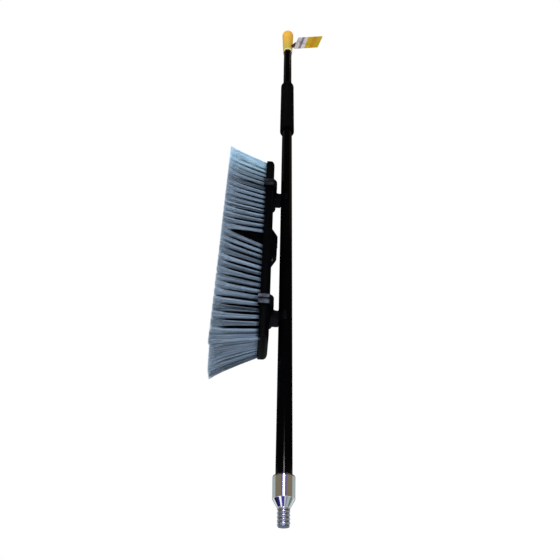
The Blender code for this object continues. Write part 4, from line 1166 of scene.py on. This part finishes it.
def tube_mesh(centres, radii, spin):
    """Three-sided tubes. centres is (fibres, rings, 3), radii is (fibres, rings)."""
    count, rings = centres.shape[:2]
    angles = spin[:, None] + np.arange(3) * math.tau / 3
    offsets = np.zeros((count, rings, 3, 3))
    offsets[..., 1] = radii[:, :, None] * np.cos(angles)[:, None, :]
    offsets[..., 2] = radii[:, :, None] * np.sin(angles)[:, None, :]
    points = (centres[:, :, None, :] + offsets).reshape(-1, 3)
    first = (np.arange(count) * rings * 3)[:, None, None]
    ring = (np.arange(rings - 1) * 3)[None, :, None]
    side = np.arange(3)[None, None, :]
    a, b = first + ring + side, first + ring + (side + 1) % 3
    quads = np.stack([a, b, b + 3, a + 3], -1).reshape(-1, 4)
    start = (np.arange(count) * rings * 3)[:, None]
    roots, tips = start + np.array([2, 1, 0]), start + (rings - 1) * 3 + np.array([0, 1, 2])
    return points, quads.tolist() + roots.tolist() + tips.tolist()


def fibre_mesh(name, tufts, per_tuft, root_radius, tip_radius, thick, flags, seed):
    """All fibres of a set of tufts. A tuft is its root (y, z), its tip (y, z) and its reach."""
    rng = np.random.default_rng(seed)
    places = np.repeat(np.array(tufts, float), per_tuft, axis=0)
    count = len(places)
    out = np.sqrt(rng.random(count))
    angle = rng.random(count) * math.tau
    disc = np.stack([out * np.cos(angle), out * np.sin(angle)], -1)
    tip_disc = disc * tip_radius + rng.normal(0.0, 1.0, (count, 2)) * tip_radius * TIP_SCATTER
    bend = rng.normal(0.0, BEND, (count, 2))
    trim = rng.normal(0.0, TRIM, count).clip(*TRIM_LIMITS)
    spin = rng.random(count) * math.tau
    clump = (angle / math.tau * CLUMPS).astype(int) + CLUMPS * (out > CLUMP_EDGE)
    tuft = np.repeat(np.arange(len(tufts)), per_tuft)
    strand = rng.random((len(tufts), 2 * CLUMPS))[tuft, clump]

    def path(steps, shift):
        t = np.array(steps)[None, :, None]
        flare = t ** SPREAD_POWER
        middle = places[:, None, :2] * (1 - t) + places[:, None, 2:4] * t
        middle = (middle + disc[:, None, :] * root_radius * (1 - flare)
                  + tip_disc[:, None, :] * flare)
        middle = middle + bend[:, None, :] * np.sin(math.pi * t) + shift
        reach = places[:, 4:] + ROOT_DEPTH - trim[:, None]
        x = FIBRE_ROOT_X + ROOT_DEPTH - reach * t[..., 0]
        return np.concatenate([x[..., None], middle], -1)

    taper = np.interp(RING_STEPS, (0.0, 1.0), thick)
    points, faces = tube_mesh(path(RING_STEPS, 0.0), np.tile(taper, (count, 1)), spin)
    for _ in range(flags):
        part = (np.array(FLAG_STEPS) - FLAG_STEPS[0]) / (1 - FLAG_STEPS[0])
        away = rng.normal(0.0, FLAG_SPREAD, (count, 1, 2)) * part[None, :, None]
        trim = rng.normal(0.0, FLAG_TRIM, count).clip(*FLAG_TRIM_LIMITS)
        thin = np.tile(np.interp(part, (0.0, 1.0), (thick[1], thick[1] * FLAG_END)), (count, 1))
        more, more_faces = tube_mesh(path(FLAG_STEPS, away), thin, spin)
        faces += [[i + len(points) for i in face] for face in more_faces]
        points = np.concatenate([points, more])
    mesh = bpy.data.meshes.new(name)
    mesh.from_pydata(points.tolist(), [], faces)
    mesh.shade_smooth()
    shares = [np.repeat(strand, len(steps) * 3) for steps in [RING_STEPS] + [FLAG_STEPS] * flags]
    attribute = mesh.attributes.new("strand", "FLOAT", "POINT")
    attribute.data.foreach_set("value", np.concatenate(shares))
    return mesh


print("fibre maker ready")

# %% [markdown]
# Where the tufts stand: an outer row on each side, in a lower and an upper group that fan
# away from the middle, and three black rows between them. The outer tufts of each group lean
# towards the middle nearest to it, which leaves the black V that the photograph shows. At
# both ends the last tufts of all rows are pale, so pale fibres close the ends.

# %% Tuft places and the six bristle groups
OUTER_TUFTS = 16
OUTER_NEAR, OUTER_FAR = {-1: 25.6 * MM, 1: 18.4 * MM}, 238.6 * MM
OUTER_ROW, INNER_ROW = 29.0 * MM, 14.5 * MM
INNER_TUFTS = 24
INNER_NEAR, INNER_FAR = 6.0 * MM, 236.0 * MM
REACH, REACH_TURN, REACH_SLOPE = 83.2 * MM, 1.0 * MM, 4.0 * MM
FAN_NEAR, FAN_FAR = math.radians(-10.5), {-1: math.radians(18.0), 1: math.radians(9.5)}
OUTER_LEAN, INNER_LEAN = math.radians(17.0), math.radians(8.5)


def reach_at(column, z):
    """How far the fibres of this column reach: the tips are trimmed a little on the slant."""
    slope = REACH_SLOPE * (1 - column) / 2
    return REACH + REACH_TURN * column + slope * (z - HEAD_CENTRE) / (2 * BLOCK_HALF_LENGTH)


def outer_tufts(side, end):
    """Root and tip of each tuft of an outer row."""
    tufts = []
    for i in [*range(OUTER_TUFTS), OUTER_TUFTS - 1.5]:
        share = i / (OUTER_TUFTS - 1)
        distance = OUTER_NEAR[end] + share * (OUTER_FAR - OUTER_NEAR[end])
        fan = FAN_NEAR + share * (FAN_FAR[end] - FAN_NEAR)
        z = HEAD_CENTRE + end * distance
        reach = reach_at(side, z)
        tip_z = z + end * reach * math.tan(fan)
        tip_y = side * (OUTER_ROW + reach * math.tan(OUTER_LEAN))
        tufts.append((side * OUTER_ROW, z, tip_y, tip_z, reach))
    return tufts


def inner_tufts(end, places, columns):
    """Root, tip and reach of the tufts between the outer rows at these places."""
    tufts = []
    for i in places:
        distance = INNER_NEAR + (INNER_FAR - INNER_NEAR) * i / (INNER_TUFTS - 1)
        for column in columns:
            y = column * INNER_ROW
            z = HEAD_CENTRE + end * distance
            reach = reach_at(column, z)
            tip_z = z + end * reach * math.tan(FAN_FAR[end]) * distance / INNER_FAR
            tufts.append((y, z, y + column * reach * math.tan(INNER_LEAN), tip_z, reach))
    return tufts


all_roots = []
# finish, radius at the root and the tip of a fibre, number of flags, slot
PALE = (pale_fibre, (0.34 * MM, 0.24 * MM), 1, "pale_fibre")
BLACK = (black_fibre, (0.42 * MM, 0.30 * MM), 0, "black_fibre")
END_COLUMNS = (-1.5, -1, -0.5, 0, 0.5, 1, 1.5)
# fibres in a tuft, and the tuft's radius at the root and at the tips
OUTER_BUNCH = (88, 3.2 * MM, 6.8 * MM)
INNER_BUNCH = (56, 3.9 * MM, 7.4 * MM)
END_BUNCH = (90, 3.2 * MM, 8.2 * MM)


def bristles(name, solids, tufts, kind, per_tuft, root_radius, tip_radius, seed):
    """One group of tufts on the head. Their roots are kept for the lips."""
    all_roots.extend(tuft[:2] for tuft in tufts)
    finish, thick, flags, slot = kind
    mesh = fibre_mesh(name, tufts, per_tuft, root_radius, tip_radius, thick, flags, seed)
    piece(name + "_fibres", mesh, finish, "broom_head", solids)


seed = 11
for end_name, end in (("lower", -1), ("upper", 1)):
    for side_name, side in (("front", -1), ("rear", 1)):
        solid = f"{side_name}_bristles_{end_name}"
        bristles(solid, [solid], outer_tufts(side, end), PALE, *OUTER_BUNCH, seed)
        seed += 1
    solid = f"inner_bristles_{end_name}"
    tufts = inner_tufts(end, range(INNER_TUFTS - 1), (-1, 0, 1))
    bristles(solid, [solid], tufts, BLACK, *INNER_BUNCH, seed)
    tufts = inner_tufts(end, [INNER_TUFTS - 1], END_COLUMNS)
    bristles(f"end_bristles_{end_name}", [], tufts, PALE, *END_BUNCH, seed + 40)
    seed += 1

# %% [markdown]
# Each tuft comes out of a hole with a low round lip. The lips are small rings, all in one
# mesh. They close the foot of the tufts, where the face of the block would look unfinished.

# %% Lips round the tuft holes
LIP = [(3.2, 0.5), (3.5, -0.55), (4.2, -0.55), (4.7, 0.5)]
lip_rings = [(BLOCK_FACE + out * MM, circle(0.0, 0.0, radius * MM, 20))
             for radius, out in soften(LIP, 0.25, 2)]
bm = bmesh.new()
for y, z in all_roots:
    skin(bm, [[(x, y + dy, z + dz) for dy, dz in ring] for x, ring in lip_rings], True)
piece("tuft_lips", bm, black_plastic, "broom_head", [])

# %% [markdown]
# ## Pieces that keep their solid
# The lock's collet and nut and the guide bush are inside the pole. Their solids have the
# right shape, so only their finish is given.

# %% Finishes for the hidden pieces
HIDDEN = (("lock_collet", navy_plastic), ("lock_nut", black_plastic), ("inner_bush", black_plastic))
for name, finish in HIDDEN:
    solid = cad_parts[name]
    solid.data.materials.clear()
    solid.data.materials.append(finish)
shown = [o.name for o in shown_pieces()]
print(len(shown), "pieces shown")
